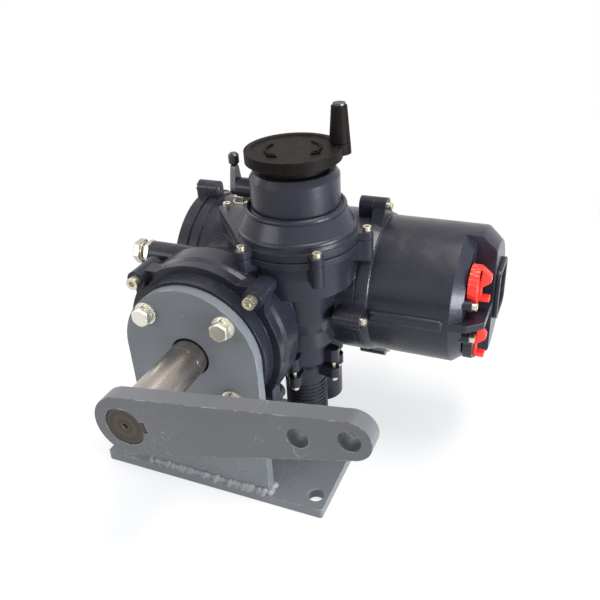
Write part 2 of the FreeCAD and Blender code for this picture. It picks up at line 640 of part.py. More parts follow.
def formWormColumn():
    body = newBody("worm_column_form", kept=False)
    foot = dim.shaftHeight + dim.columnFootRise
    flangeStart = capSeat - dim.columnFlangeThickness
    tapered(body, "Z", wormAxis, foot, flangeStart, dim.columnRadius, dim.farLugRadius, dim.farScrewReach,
            dim.farScrewAngle)
    tapered(body, "Z", wormAxis, flangeStart, capSeat, dim.columnFlangeRadius, dim.farLugRadius,
            dim.farScrewReach, dim.farScrewAngle)
    tubeFoot = dim.shaftHeight + dim.tubeFootRise
    neck = dim.shaftHeight - dim.tubeNeckDrop
    tubeEnd = dim.shaftHeight - dim.tubeEndDrop
    profile = [(motorSeat, 0), (motorSeat, dim.motorCollarRadius), (tubeEnd, dim.motorCollarRadius),
               (tubeEnd, dim.tubeFootRadius), (neck, dim.tubeNeckRadius),
               (tubeFoot, dim.tubeRadius), (foot, dim.tubeRadius),
               (foot + dim.tubeRadius / 2, dim.columnRadius - 2), (foot + dim.tubeRadius / 2, 0)]
    turn(body, "Z", wormAxis, profile)
    for angle in capScrewAngles:
        ear(body, "Z", wormAxis, capSeat - dim.capLugDepth, capSeat, dim.capLugRadius, dim.capScrewCircle, angle)
    for angle in tieAngles:
        ear(body, "Z", wormAxis, motorSeat, motorSeat + 2 * dim.motorTieDepth, dim.motorEarRadius,
            dim.motorTieCircle, angle)
    rod(body, "Z", fillerSpot, dim.shaftHeight, fillerTop, dim.fillerBossRadius)
    return body


def formElectricsHousing():
    body = newBody("electrics_form", kept=False)
    flangeEnd = terminalFace + dim.terminalFlangeThickness
    profile = [(terminalFace, 0), (terminalFace, dim.terminalFlangeRadius), (flangeEnd, dim.terminalFlangeRadius),
               (flangeEnd, dim.electricsRadius), (dim.electricsRight, dim.electricsRadius),
               (dim.electricsRight, 0)]
    turn(body, "X", electricsAxis, profile)
    crossLugs(body, dim.electricsRight - dim.electricsLugLength, dim.electricsRight)
    crossLugs(body, terminalFace, terminalFace + dim.terminalFlangeThickness)
    rod(body, "Z", lobeAxis, dim.lobeBottom, dim.lobeTop, dim.lobeRadius)
    for spot in conduitSpots:
        rod(body, "Z", spot, conduitBottom, dim.shaftHeight, dim.conduitBossRadius)
    return body


def formHollows():
    # Everything that is cast or bored out of the housing
    body = newBody("hollows_form", kept=False)
    rearFace = housingRear - dim.rearWall - 2
    chamberEnd = splitFace + dim.quadrantChamberDepth
    rod(body, "Y", shaftAxis, splitFace, rearFace, dim.wheelChamberRadius)
    # Solid wall kept behind the wheel, which takes the terminal cover's inner screw
    block(body, (-dim.wheelChamberRadius, -dim.wheelHubRadius - 2), (chamberEnd, rearFace),
          (dim.shaftHeight - dim.wheelHubRadius, dim.shaftHeight + dim.wheelHubRadius), cut=True)
    rod(body, "Y", shaftAxis, splitFace, splitFace + dim.spigotBoreDepth, dim.spigotRadius)
    rod(body, "Y", shaftAxis, splitFace, chamberEnd, dim.quadrantChamberRadius)
    rod(body, "Y", shaftAxis, splitFace, housingRear - 2, dim.bushRadius)
    bearingBore = dim.wormBearingRadius + dim.runningFit
    rod(body, "Z", wormAxis, motorSeat, capSeat, dim.wormBoreRadius)
    rod(body, "Z", wormAxis, motorSeat, lowerBearing[1], bearingBore)
    rod(body, "Z", wormAxis, upperBearing[0], capSeat, bearingBore)
    rod(body, "Z", wormAxis, motorSeat - dim.motorCollarRadius, motorSeat, dim.motorCollarRadius + dim.seatGap)
    rod(body, "X", electricsAxis, dim.electricsRight - dim.controlHollowDepth, dim.electricsRight,
        dim.controlHollowRadius)
    rod(body, "X", electricsAxis, terminalFace, terminalFace + dim.terminalHollowDepth,
        dim.terminalHollowRadius)
    return body


def formHoles():
    # Screw holes and plug threads of the housing
    body = newBody("holes_form", kept=False)
    screwDepth = dim.smallScrewDepth + 1
    for spot in splitSpots:
        rod(body, "Y", spot, splitFace, splitFace + dim.bigScrewLength - dim.splitLugLength + 1,
            dim.bigScrewRadius)
    for spot in capScrewSpots:
        rod(body, "Z", spot, capSeat - screwDepth, capSeat, dim.smallScrewRadius)
    for spot in lugSpots:
        rod(body, "X", spot, dim.electricsRight - screwDepth, dim.electricsRight, dim.smallScrewRadius)
        rod(body, "X", spot, terminalFace, terminalFace + dim.terminalFlangeThickness, dim.smallScrewRadius)
    for spot in tieSpots:
        rod(body, "Z", spot, motorSeat, motorSeat + dim.motorTieDepth + 1, dim.motorTieRadius)
    for side in (-1, 1):
        spot = (stopY, dim.shaftHeight + side * dim.stopRise)
        rod(body, "X", spot, -dim.stopBossReach, 0, dim.stopRadius)
    rod(body, "Z", fillerSpot, fillerTop - dim.fillerPlugLength - 1, fillerTop, dim.fillerPlugRadius)
    for spot in conduitSpots:
        rod(body, "Z", spot, conduitBottom, conduitBottom + dim.conduitPlugLength + 6, dim.conduitPlugRadius)
    return body


upperBearing = (dim.shaftHeight + dim.wormBearingDistance,
                dim.shaftHeight + dim.wormBearingDistance + dim.wormBearingWidth)
lowerBearing = (dim.shaftHeight - dim.wormBearingDistance - dim.wormBearingWidth,
                dim.shaftHeight - dim.wormBearingDistance)


def makeMainHousing():
    # One casting: the gear end, worm column and electrics housing joined, then hollowed and drilled
    solid = document.addObject("Part::MultiFuse", "housing_solid")
    solid.Shapes = [formGearEnd(), formWormColumn(), formElectricsHousing()]
    hollow = document.addObject("Part::Cut", "housing_hollowed")
    hollow.Base = solid
    hollow.Tool = formHollows()
    housing = document.addObject("Part::Cut", "main_housing")
    housing.Base = hollow
    housing.Tool = formHoles()
    housing.Refine = True
    built.append(housing)


def makeHousingPlugs():
    filler = newBody("filler_plug")
    collar = fillerTop + dim.fillerFlangeHeight
    rod(filler, "Z", fillerSpot, fillerTop - dim.fillerPlugLength, fillerTop, dim.fillerPlugRadius - dim.screwFit)
    rod(filler, "Z", fillerSpot, fillerTop, collar, dim.fillerFlangeRadius)
    hexagon(filler, "Z", fillerSpot, collar, collar + dim.fillerHeadHeight, dim.fillerHeadFlats)
    plugs = newBody("conduit_plugs")
    for spot in conduitSpots:
        rod(plugs, "Z", spot, conduitBottom, conduitBottom + dim.conduitPlugLength,
            dim.conduitPlugRadius - dim.screwFit)
        hexagon(plugs, "Z", spot, conduitBottom - dim.conduitHeadHeight, conduitBottom, dim.conduitHeadFlats)


# Stops

def makeStops():
    bolts = newBody("stop_bolts")
    nuts = newBody("stop_lock_nuts")
    limit = dim.quadrantHalfAngle + dim.swingAngle
    tip = dim.quadrantRadius * cosine(limit) - dim.seatGap
    bossEnd = -dim.stopBossReach
    nutEnd = bossEnd - dim.stopNutHeight
    for side in (-1, 1):
        spot = (stopY, dim.shaftHeight + side * dim.stopRise)
        rod(bolts, "X", spot, nutEnd, tip, dim.stopRadius - dim.screwFit)
        hexagon(bolts, "X", spot, nutEnd - dim.stopHeadHeight, nutEnd, dim.stopHexFlats)
        hexagon(nuts, "X", spot, nutEnd, bossEnd, dim.stopHexFlats)
        rod(nuts, "X", spot, nutEnd, bossEnd, dim.stopRadius, cut=True)


def cutSector(body, axis, start, end, radius, hubRadius, halfAngle):
    # Leaves a sector of a disc about +X, and puts the whole hub back
    beyond = radius * 2
    upper = polar(axis, beyond, halfAngle)
    lower = polar(axis, beyond, -halfAngle)
    outline = [axis, upper, (-beyond, axis[1] + beyond), (-beyond, axis[1] - beyond), lower]
    extrude(body, "Y", start, end, outline, cut=True)
    rod(body, "Y", axis, start, end, hubRadius)


def makeQuadrant():
    body = newBody("stop_quadrant")
    start, end = quadrantSpan
    rod(body, "Y", shaftAxis, start, end, dim.quadrantRadius)
    cutSector(body, shaftAxis, start, end, dim.quadrantRadius, dim.quadrantHubRadius, dim.quadrantHalfAngle)
    rod(body, "Y", shaftAxis, start, end, dim.shaftRadius + dim.runningFit, cut=True)
    keyBlock(body, (start, end), dim.keyHeight, 90, dim.runningFit, cut=True)
    spacer = newBody("shaft_spacer")
    ring(spacer, "Y", shaftAxis, end, wheelSpan[0], dim.quadrantHubRadius, dim.shaftRadius + dim.runningFit)
    keyBlock(spacer, (end, wheelSpan[0]), dim.keyHeight, 90, dim.runningFit, cut=True)


# Worm gear

gearPitch = dim.gearModule * math.pi
wormTipRadius = dim.wormPitchRadius + dim.gearModule
wheelTipRadius = wheelPitchRadius + dim.gearModule
wheelRootRadius = wheelPitchRadius - 1.25 * dim.gearModule


def makeWormWheel():
    # Its axis is the body's own Y axis, and the body's placement carries it to the shaft
    body = newBody("worm_wheel")
    centre = (0, 0)
    half = dim.wheelWidth / 2
    web = dim.wheelWebThickness / 2
    profile = [(-half, 0), (-half, dim.wheelHubRadius), (-web, dim.wheelHubRadius), (-web, dim.wheelRimRadius),
               (-half, dim.wheelRimRadius), (-half, wheelTipRadius), (half, wheelTipRadius),
               (half, dim.wheelRimRadius), (web, dim.wheelRimRadius), (web, dim.wheelHubRadius),
               (half, dim.wheelHubRadius), (half, 0)]
    turn(body, "Y", centre, profile)
    document.recompute()
    # The tooth gap leans by the worm's lead, so its sketch is drawn on a leaned plane
    leanPerMillimetre = gearPitch / (2 * math.pi * dim.wormPitchRadius)
    sketch = sketchOn(body, "XZ_Plane", (0, 0, 0))
    sketch.AttachmentOffset = Placement(Vector(), Rotation(Vector(1, 0, 0), 5))
    bind(sketch, "AttachmentOffset.Rotation.Angle", function("atan", leanPerMillimetre))
    outer = wheelTipRadius + 1
    openHalf = dim.slotHalfWidth + (outer - wheelPitchRadius) * dim.flankSlope
    rootHalf = dim.slotHalfWidth + (wheelRootRadius - wheelPitchRadius) * dim.flankSlope
    drawPolygon(sketch, [(wheelRootRadius, -rootHalf), (outer, -openHalf), (outer, openHalf),
                         (wheelRootRadius, rootHalf)])
    slot = body.newObject("PartDesign::Pocket", "ToothGap")
    slot.Profile = (sketch, [""])
    slot.Midplane = True
    bind(slot, "Length", dim.wheelWidth * 1.2)
    teeth = body.newObject("PartDesign::PolarPattern", "ToothGaps")
    teeth.Originals = [slot]
    teeth.Axis = ([item for item in body.Origin.OriginFeatures if item.Role == "Y_Axis"][0], [""])
    teeth.Angle = 360
    bind(teeth, "Occurrences", dim.wheelTeeth)
    body.Tip = teeth
    cutSector(body, (0, 0), -half, half, wheelTipRadius, dim.wheelHubRadius, dim.wheelHalfAngle)
    rod(body, "Y", centre, -half, half, dim.shaftRadius + dim.runningFit, cut=True)
    keyRoom = dim.keyWidth / 2 + dim.runningFit
    keyTop = dim.shaftRadius + dim.keyHeight / 2 + 2 * dim.runningFit
    block(body, (-keyRoom, keyRoom), (-half, half), (0, keyTop), cut=True)
    bind(body, "Placement.Base.y", wheelPlane)
    bind(body, "Placement.Base.z", dim.shaftHeight)


clutchConeStart = capSeat + 14
clutchConeEnd = clutchConeStart + dim.clutchConeHeight


def makeWormShaft():
    body = newBody("worm_shaft")
    threadHalf = dim.wormThreadTurns * gearPitch / 2 + gearPitch / 2
    low, high = dim.shaftHeight - threadHalf, dim.shaftHeight + threadHalf
    motorEnd = motorSeat - dim.motorShaftEnd
    radius = dim.wormShaftRadius
    profile = [(motorEnd, 0), (motorEnd, dim.motorShaftRadius), (motorSeat, dim.motorShaftRadius),
               (motorSeat, radius), (lowerBearing[1], radius), (lowerBearing[1], radius + 2), (low, radius + 2),
               (low, dim.wormCoreRadius), (high, dim.wormCoreRadius), (high, radius + 2),
               (upperBearing[0], radius + 2), (upperBearing[0], radius), (clutchConeStart, radius),
               (clutchConeStart, dim.clutchConeRadius), (clutchConeEnd, dim.clutchConeTopRadius),
               (clutchConeEnd, 0)]
    turn(body, "Z", wormAxis, profile)
    # One screw thread, drawn on the wheel's side and centred on the wheel's axis
    sketch = sketchOn(body, "XZ_Plane", (wormAxis[0], 0, -wormAxis[1]))
    middleHeight = dim.shaftHeight - dim.wormThreadTurns / 2 * gearPitch
    inner = dim.wormCoreRadius - 0.4
    footHalf = dim.threadHalfWidth + (dim.wormPitchRadius - inner) * dim.flankSlope
    tipHalf = dim.threadHalfWidth - dim.gearModule * dim.flankSlope
    drawPolygon(sketch, [(-inner, middleHeight - footHalf), (-inner, middleHeight + footHalf),
                         (-wormTipRadius, middleHeight + tipHalf), (-wormTipRadius, middleHeight - tipHalf)])
    thread = body.newObject("PartDesign::AdditiveHelix", "Thread")
    thread.Profile = (sketch, [""])
    thread.ReferenceAxis = (sketch, ["V_Axis"])
    thread.Mode = "pitch-turns-angle"
    bind(thread, "Pitch", gearPitch)
    bind(thread, "Turns", dim.wormThreadTurns)


def makeWormBearings():
    for name, (start, end) in (("worm_bearing_upper", upperBearing), ("worm_bearing_lower", lowerBearing)):
        ring(newBody(name), "Z", wormAxis, start, end, dim.wormBearingRadius,
             dim.wormShaftRadius + dim.runningFit)


# Motor

def makeMotor():
    body = newBody("motor_housing")
    shoulderEnd = motorSeat - dim.motorShoulderLength
    bottom = motorSeat - dim.motorLength
    profile = [(bottom, 0), (bottom, dim.motorNeckRadius - 2), (bottom + 2, dim.motorNeckRadius),
               (shoulderEnd, dim.motorNeckRadius), (motorSeat - 2, dim.motorCollarRadius),
               (motorSeat, dim.motorCollarRadius), (motorSeat, 0)]
    turn(body, "Z", wormAxis, profile)
    for index in range(sizes["motorRibCount"]):
        top = motorSeat - dim.motorRibStart - index * dim.motorRibPitch
        rod(body, "Z", wormAxis, top - dim.motorRibThickness, top, dim.motorRibRadius)
    earTop = motorSeat - dim.motorEarStart
    earFoot = earTop - dim.motorEarThickness
    for angle, spot in zip(tieAngles, tieSpots):
        ear(body, "Z", wormAxis, earFoot, earTop, dim.motorEarRadius, dim.motorTieCircle, angle)
        rod(body, "Z", spot, earFoot, earTop, dim.motorTieRadius + dim.screwPlay, cut=True)
    hollow = dim.motorNeckRadius - dim.motorWall
    rod(body, "Z", wormAxis, bottom + dim.motorWall, motorSeat, hollow, cut=True)
    stator = (motorSeat - dim.statorEnd, motorSeat - dim.statorStart)
    ring(newBody("motor_stator"), "Z", wormAxis, *stator, hollow, dim.statorInnerRadius)
    ring(newBody("motor_rotor"), "Z", wormAxis, stator[0] + dim.rotorInset, stator[1] - dim.rotorInset,
         dim.rotorRadius, dim.motorShaftRadius)
    bolts = newBody("motor_tie_bolts")
    for spot in tieSpots:
        rod(bolts, "Z", spot, earFoot - dim.motorTieHeadHeight, earFoot, dim.motorTieHeadRadius)
        rod(bolts, "Z", spot, earFoot, motorSeat + dim.motorTieDepth, dim.motorTieRadius - dim.screwFit)


# Handwheel cap

clutchHeight = dim.shaftHeight + dim.clutchShaftRise
capHollowTop = capTop - dim.capTopWall


def makeCap():
    gasket = newBody("cap_gasket")
    body = newBody("handwheel_cap")
    flangeEnd = capBottom + dim.capFlangeThickness
    for piece, start, end in ((gasket, capSeat, capBottom), (body, capBottom, flangeEnd)):
        tapered(piece, "Z", wormAxis, start, end, dim.capFlangeRadius, dim.farLugRadius, dim.farScrewReach,
                dim.farScrewAngle)
        for angle in capScrewAngles:
            ear(piece, "Z", wormAxis, start, end, dim.capLugRadius, dim.capScrewCircle, angle)
    profile = [(capBottom, 0), (capBottom, dim.capFlangeRadius - 1), (capSeat + dim.capShoulderStart,
               dim.capShoulderRadius), (capSeat + dim.capShoulderEnd, dim.capShoulderTopRadius),
               (capSeat + dim.capNeckStart, dim.capNeckRadius), (capSeat + dim.capNeckEnd, dim.capNeckRadius),
               (capTop, dim.capTopRadius), (capTop, 0)]
    turn(body, "Z", wormAxis, profile)
    clutchAxis = (wormAxis[1], clutchHeight)
    rod(body, "X", clutchAxis, dim.clutchBossX, wormAxis[0], dim.clutchBossRadius)
    rod(gasket, "Z", wormAxis, capSeat, capBottom, dim.capHollowRadius, cut=True)
    rod(body, "Z", wormAxis, capBottom, capHollowTop, dim.capHollowRadius, cut=True)
    rod(body, "Z", wormAxis, capHollowTop, capTop, dim.capBushRadius, cut=True)
    rod(body, "X", clutchAxis, dim.clutchBossX, wormAxis[0], dim.clutchShaftRadius + dim.runningFit, cut=True)
    for spot in capScrewSpots:
        rod(gasket, "Z", spot, capSeat, capBottom, dim.smallScrewRadius + dim.screwPlay, cut=True)
        rod(body, "Z", spot, capBottom, flangeEnd, dim.smallScrewRadius + dim.screwPlay, cut=True)
    ring(newBody("cap_bush"), "Z", wormAxis, capHollowTop, capTop, dim.capBushRadius,
         dim.handShaftRadius + dim.runningFit)
    screws = newBody("cap_screws")
    for spot in capScrewSpots:
        socketScrew(screws, "Z", spot, flangeEnd, 1,
                    length=dim.capFlangeThickness + dim.gasketThickness + dim.smallScrewDepth)


# Clutch between worm shaft and handwheel shaft, drawn in the motor position

def flatsOn(body, start, end, half, cut):
    # Flats on both sides of the handwheel shaft, or the fillings that match them in a bore
    reach = dim.handShaftRadius + 1
    across = (wormAxis[0] - reach, wormAxis[0] + reach)
    for side in (-1, 1):
        inner, outer = wormAxis[1] + side * half, wormAxis[1] + side * reach
        block(body, across, (inner, outer) if side > 0 else (outer, inner), (start, end), cut=cut)


def makeClutch():
    sleeve = newBody("clutch_sleeve")
    groove = dim.clutchPinRadius + dim.clutchGroovePlay
    start = clutchConeStart + dim.clutchTravel + 1
    end = clutchHeight + dim.clutchSleeveAbove
    radius = dim.clutchSleeveRadius
    slope = (dim.clutchConeRadius - dim.clutchConeTopRadius) / dim.clutchConeHeight
    lowHalf = dim.clutchConeRadius + dim.clutchConeGap - slope * 1
    coneEnd = clutchConeEnd + dim.clutchTravel + 0.5
    topHalf = lowHalf - slope * (coneEnd - start)
    profile = [(start, lowHalf), (start, radius), (clutchHeight - groove, radius),
               (clutchHeight - groove, dim.clutchGrooveRadius), (clutchHeight + groove, dim.clutchGrooveRadius),
               (clutchHeight + groove, radius), (end, radius), (end, dim.handShaftRadius + dim.runningFit),
               (coneEnd, dim.handShaftRadius + dim.runningFit), (coneEnd, topHalf)]
    turn(sleeve, "Z", wormAxis, profile)
    flatsOn(sleeve, end - 6, end, dim.clutchFlatHalf + dim.runningFit, cut=False)
    shaft = newBody("clutch_shaft")
    axis = (wormAxis[1], clutchHeight)
    pin = (wormAxis[1] - dim.clutchPinOffset, clutchHeight)
    webStart = dim.clutchWebX - dim.clutchWebThickness
    rod(shaft, "X", axis, dim.clutchBossX - dim.clutchArmThickness - 2, dim.clutchWebX, dim.clutchShaftRadius)
    rod(shaft, "X", pin, webStart, dim.clutchPinTipX, dim.clutchPinRadius)
    block(shaft, (webStart, dim.clutchWebX), (pin[0], axis[0]),
          (clutchHeight - dim.clutchPinRadius, clutchHeight + dim.clutchPinRadius))
    arm = newBody("clutch_lever")
    armEnd = dim.clutchBossX - dim.seatGap
    armSpan = (armEnd - dim.clutchArmThickness, armEnd)
    tip = tapered(arm, "X", axis, *armSpan, dim.clutchHubRadius, dim.clutchArmTipRadius, dim.clutchArmLength, 90)
    rod(arm, "X", axis, *armSpan, dim.clutchShaftRadius + dim.screwFit / 5, cut=True)
    knob = newBody("clutch_knob")
    centre = (armSpan[0] + dim.clutchArmThickness / 2, tip[0])
    low = tip[1] + dim.clutchArmTipRadius
    bulb = dim.clutchKnobRadius
    profile = [(low, 0), (low, bulb - 2), (low + 2, bulb), (low + dim.clutchKnobLength - 2, bulb),
               (low + dim.clutchKnobLength, bulb - 2), (low + dim.clutchKnobLength, 0)]
    turn(knob, "Z", centre, profile)


# Handwheel

def makeHandwheel():
    low = capTop + dim.handwheelGap
    discStart = low + dim.handwheelSkirtHeight
    top = discStart + dim.handwheelThickness
    rim = dim.handwheelRadius - dim.handwheelRim
    body = newBody("handwheel")
    profile = [(low, 0), (low, dim.handwheelSkirtRadius), (discStart, dim.handwheelSkirtRadius),
               (discStart, dim.handwheelRadius - 1.5), (discStart + 1.5, dim.handwheelRadius),
               (top - 1.5, dim.handwheelRadius), (top, dim.handwheelRadius - 1.5), (top, rim),
               (top - dim.handwheelDish, rim - dim.handwheelDish),
               (top - dim.handwheelDish, dim.handwheelBossRadius + 1), (top, dim.handwheelBossRadius), (top, 0)]
    turn(body, "Z", wormAxis, profile)
    crank = polar(wormAxis, dim.crankReach, dim.crankAngle)
    rod(body, "Z", crank, discStart, top, dim.crankLugRadius)
    shaftTop = top - dim.handShaftTopGap
    rod(body, "Z", wormAxis, low, shaftTop, dim.handShaftRadius + dim.screwFit, cut=True)
    rod(body, "Z", crank, discStart, top, dim.crankPinRadius + dim.screwFit, cut=True)
    shaft = newBody("handwheel_shaft")
    shaftFoot = clutchConeEnd + 1.5
    rod(shaft, "Z", wormAxis, shaftFoot, shaftTop - dim.seatGap, dim.handShaftRadius)
    flatsOn(shaft, shaftFoot, clutchHeight + dim.clutchSleeveAbove + dim.seatGap, dim.clutchFlatHalf, cut=True)
    gripEnd = top + dim.gripLength
    pin = newBody("crank_pin")
    rod(pin, "Z", crank, discStart, gripEnd - 2, dim.crankPinRadius)
    rod(pin, "Z", crank, gripEnd - 2, gripEnd, dim.gripHeadRadius)
    grip = newBody("crank_grip")
    seat = top + dim.seatGap
    end = gripEnd - 2 - dim.seatGap
    profile = [(seat, dim.crankPinRadius + 0.1), (seat, dim.gripRadius - 1), (seat + 1.5, dim.gripRadius),
               (seat + dim.gripLength * 0.45, dim.gripRadius - 0.4), (end - 2, dim.gripTopRadius),
               (end, dim.gripTopRadius - 1.5), (end, dim.crankPinRadius + 0.1)]
    turn(grip, "Z", crank, profile)


# Display cover with its window and selector knobs

bayInner = splitFace + dim.bayInnerSetback
knobSpots = [(splitFace + dim.knobSetback, electricsAxis[1] + side * dim.knobRise) for side in (1, -1)]
bayScrewSpots = [(splitFace + dim.bayScrewSetback, electricsAxis[1] + side * dim.bayScrewRise)
                 for side in (1, -1)]
bezelSpan = (splitFace + dim.bezelInnerSetback, splitFace + dim.bezelOuterSetback)
bezelHeights = (electricsAxis[1] - dim.bezelDrop, electricsAxis[1] - dim.bezelDrop + dim.bezelHeight)
bezelEnd = dim.displayEnd + dim.bezelThickness


def inset(span, margin):
    return (span[0] + margin, span[1] - margin)


def makeDisplayCover():
    body = newBody("display_cover")
    radius = dim.displayBarrelRadius
    profile = [(dim.electricsRight, 0), (dim.electricsRight, dim.electricsRadius),
               (displayFlangeEnd, dim.electricsRadius), (displayFlangeEnd, radius),
               (dim.displayEnd - dim.displayNoseLength, radius), (dim.displayEnd, dim.displayNoseRadius),
               (dim.displayEnd, 0)]
    turn(body, "X", electricsAxis, profile)
    crossLugs(body, dim.electricsRight, displayFlangeEnd)
    ridge = (electricsAxis[1] - dim.sideRidgeHalf, electricsAxis[1] + dim.sideRidgeHalf)
    ridgeOut = electricsAxis[0] - radius - dim.sideRidgeProud
    block(body, (dim.sideRidgeStart, dim.sideRidgeEnd), (ridgeOut, electricsAxis[0] - radius + 8), ridge)
    # Open knob bays on the lever side, parted by a rib, with a bevelled shoulder round them
    outside = electricsAxis[0] - radius - 20
    low, high = electricsAxis[1] - radius - 4, electricsAxis[1] + radius + 4
    block(body, (dim.bayShoulderX, dim.displayEnd + 1), (outside, bayInner),
          (low, electricsAxis[1] - dim.bayRibHalf), cut=True)
    block(body, (dim.bayShoulderX, dim.displayEnd + 1), (outside, bayInner),
          (electricsAxis[1] + dim.bayRibHalf, high), cut=True)
    for spot in bayScrewSpots:
        rod(body, "X", spot, dim.bayShoulderX, dim.bayShoulderX + dim.bayBossHeight, dim.bayBossRadius)
    rod(body, "X", electricsAxis, dim.electricsRight, dim.displayHollowEnd, dim.displayHollowRadius, cut=True)
    screen = (inset(bezelSpan, dim.bezelFrame + dim.screenMargin),
              inset(bezelHeights, dim.bezelFrame + dim.screenMargin))
    block(body, (dim.displayHollowEnd, dim.displayEnd), *screen, cut=True)
    for spot in knobSpots:
        rod(body, "X", spot, dim.bayShoulderX - dim.knobSpindleLength - 1, dim.bayShoulderX,
            dim.knobSpindleRadius + dim.runningFit, cut=True)
    for spot in lugSpots:
        rod(body, "X", spot, dim.electricsRight, displayFlangeEnd, dim.smallScrewRadius + dim.screwPlay, cut=True)
    for spot in bayScrewSpots:
        rod(body, "X", spot, dim.bayShoulderX - 2, dim.bayShoulderX + dim.bayBossHeight, dim.smallScrewRadius,
            cut=True)


def makeDisplayPieces():
    bezel = newBody("display_bezel")
    block(bezel, (dim.displayEnd, bezelEnd), bezelSpan, bezelHeights)
    finishEdges(bezel, "Fillet", dim.bezelCorner, lambda edge: isAlong(edge, "X"))
    glassSpan, glassHeights = inset(bezelSpan, dim.bezelFrame), inset(bezelHeights, dim.bezelFrame)
    block(bezel, (dim.displayEnd, bezelEnd), glassSpan, glassHeights, cut=True)
    window = newBody("display_window")
    block(window, (dim.displayEnd, dim.displayEnd + dim.windowThickness), inset(glassSpan, dim.runningFit),
          inset(glassHeights, dim.runningFit))
    screen = newBody("display_screen")
    margin = dim.screenMargin + dim.runningFit
    block(screen, (dim.displayEnd - dim.screenDepth, dim.displayEnd), inset(glassSpan, margin),
          inset(glassHeights, margin))
    screws = newBody("display_cover_screws")
    for spot in lugSpots:
        socketScrew(screws, "X", spot, displayFlangeEnd, 1, length=dim.displayFlangeThickness + dim.smallScrewDepth)
    bayScrews = newBody("bay_screws")
    for spot in bayScrewSpots:
        socketScrew(bayScrews, "X", spot, dim.bayShoulderX + dim.bayBossHeight, 1, length=dim.bayBossHeight)


def makeKnobs():
    start = dim.bayShoulderX + dim.knobGap
    face = start + dim.knobDiscThickness
    top = face + dim.knobGripHeight
    half = dim.knobGripWidth / 2
    for name, spot in zip(("red_selector_knob", "black_selector_knob"), knobSpots):
        knob = newBody(name)
        y, z = spot
        rod(knob, "X", spot, dim.bayShoulderX - dim.knobSpindleLength, start, dim.knobSpindleRadius)
        profile = [(start, 0), (start, dim.knobRadius), (face - 1.5, dim.knobRadius),
                   (face, dim.knobRadius - 1.5), (face, 0)]
        turn(knob, "X", spot, profile)
        reach = dim.knobRadius - 3
        block(knob, (face - 1, top), (y - reach, y + reach), (z - half, z + half))
        finishEdges(knob, "Fillet", dim.knobGripWidth / 6,
                    lambda edge: isAlong(edge, "X") and middle(edge).x > float(face))


# Terminal cover on the other end

def makeTerminalCover():
    body = newBody("terminal_cover")
    profile = [(terminalOuter - dim.terminalStepHeight, 0),
               (terminalOuter - dim.terminalStepHeight, dim.terminalStepRadius - 2),
               (terminalOuter, dim.terminalStepRadius), (terminalOuter, dim.terminalCoverRadius - 1.5),
               (terminalOuter + 1.5, dim.terminalCoverRadius), (terminalFace, dim.terminalCoverRadius),
               (terminalFace, 0)]
    turn(body, "X", electricsAxis, profile)
    crossLugs(body, terminalOuter, terminalFace)
    rod(body, "X", electricsAxis, terminalFace - dim.terminalCoverHollow, terminalFace, dim.terminalHollowRadius,
        cut=True)
    screws = newBody("terminal_cover_screws")
    for spot in lugSpots:
        rod(body, "X", spot, terminalOuter, terminalFace, dim.smallScrewRadius + dim.screwPlay, cut=True)
        socketScrew(screws, "X", spot, terminalOuter, -1,
                    length=dim.terminalCoverThickness + dim.terminalFlangeThickness - 1)
    blockBody = newBody("terminal_block")
    floor = terminalFace + dim.terminalHollowDepth
    across = (electricsAxis[0] - dim.terminalBlockWidth / 2, electricsAxis[0] + dim.terminalBlockWidth / 2)
    heights = (electricsAxis[1] - dim.terminalBlockHeight / 2, electricsAxis[1] + dim.terminalBlockHeight / 2)
    block(blockBody, (floor - dim.terminalBlockDepth, floor), across, heights)
    pitch = dim.terminalBlockWidth / dim.terminalWays
    for index in range(sizes["terminalWays"]):
        spot = (across[0] + (index + 0.5) * pitch, electricsAxis[1] + dim.terminalBlockHeight / 4)
        rod(blockBody, "X", spot, floor - dim.terminalBlockDepth, floor - dim.terminalBlockDepth / 2, pitch / 3,
            cut=True)


def makeControlBoard():
    board = newBody("control_board")
    floor = dim.electricsRight - dim.controlHollowDepth
    start = floor + dim.boardStandoff
    rod(board, "X", electricsAxis, start, start + dim.boardThickness, dim.boardRadius)
    for angle in (45, 135, 225, 315):
        spot = polar(electricsAxis, dim.boardPostCircle, angle)
        rod(board, "X", spot, floor, start, dim.boardPostRadius)
    block(board, (start + dim.boardThickness, start + dim.boardThickness * 8),
          (electricsAxis[0] - 20, electricsAxis[0] + 20), (electricsAxis[1] - 15, electricsAxis[1] + 10))


for make in (makeBasePlate, makeUprightPlate, makeWelds, makeUprightBolts, makeOutputShaft, makeKeys,
             makeLever, makeGearCover, makeGearCoverPieces, makeMainHousing, makeHousingPlugs, makeStops,
             makeQuadrant, makeWormWheel, makeWormShaft, makeWormBearings, makeMotor, makeCap, makeClutch,
             makeHandwheel, makeDisplayCover, makeDisplayPieces, makeKnobs, makeTerminalCover,
             makeControlBoard):
    make()
document.recompute()

# Check every object and write one file for each piece
failed = [item for item in document.Objects if {"Invalid", "Error"} & set(item.State)]
if failed:
    raise RuntimeError("failed: " + ", ".join(f"{item.getParent().Label}.{item.Label}" for item in failed))
os.makedirs("parts", exist_ok=True)
for body in built:
    shape = body.Shape
    if shape.isNull() or not shape.isValid():
        raise RuntimeError(f"{body.Label} has no valid shape")
    shape.exportStep(f"parts/{body.Label}.step")
    print(body.Label, len(shape.Solids), round(shape.Volume))
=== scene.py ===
import json
import math
import random

import bpy
from mathutils import Matrix, Vector


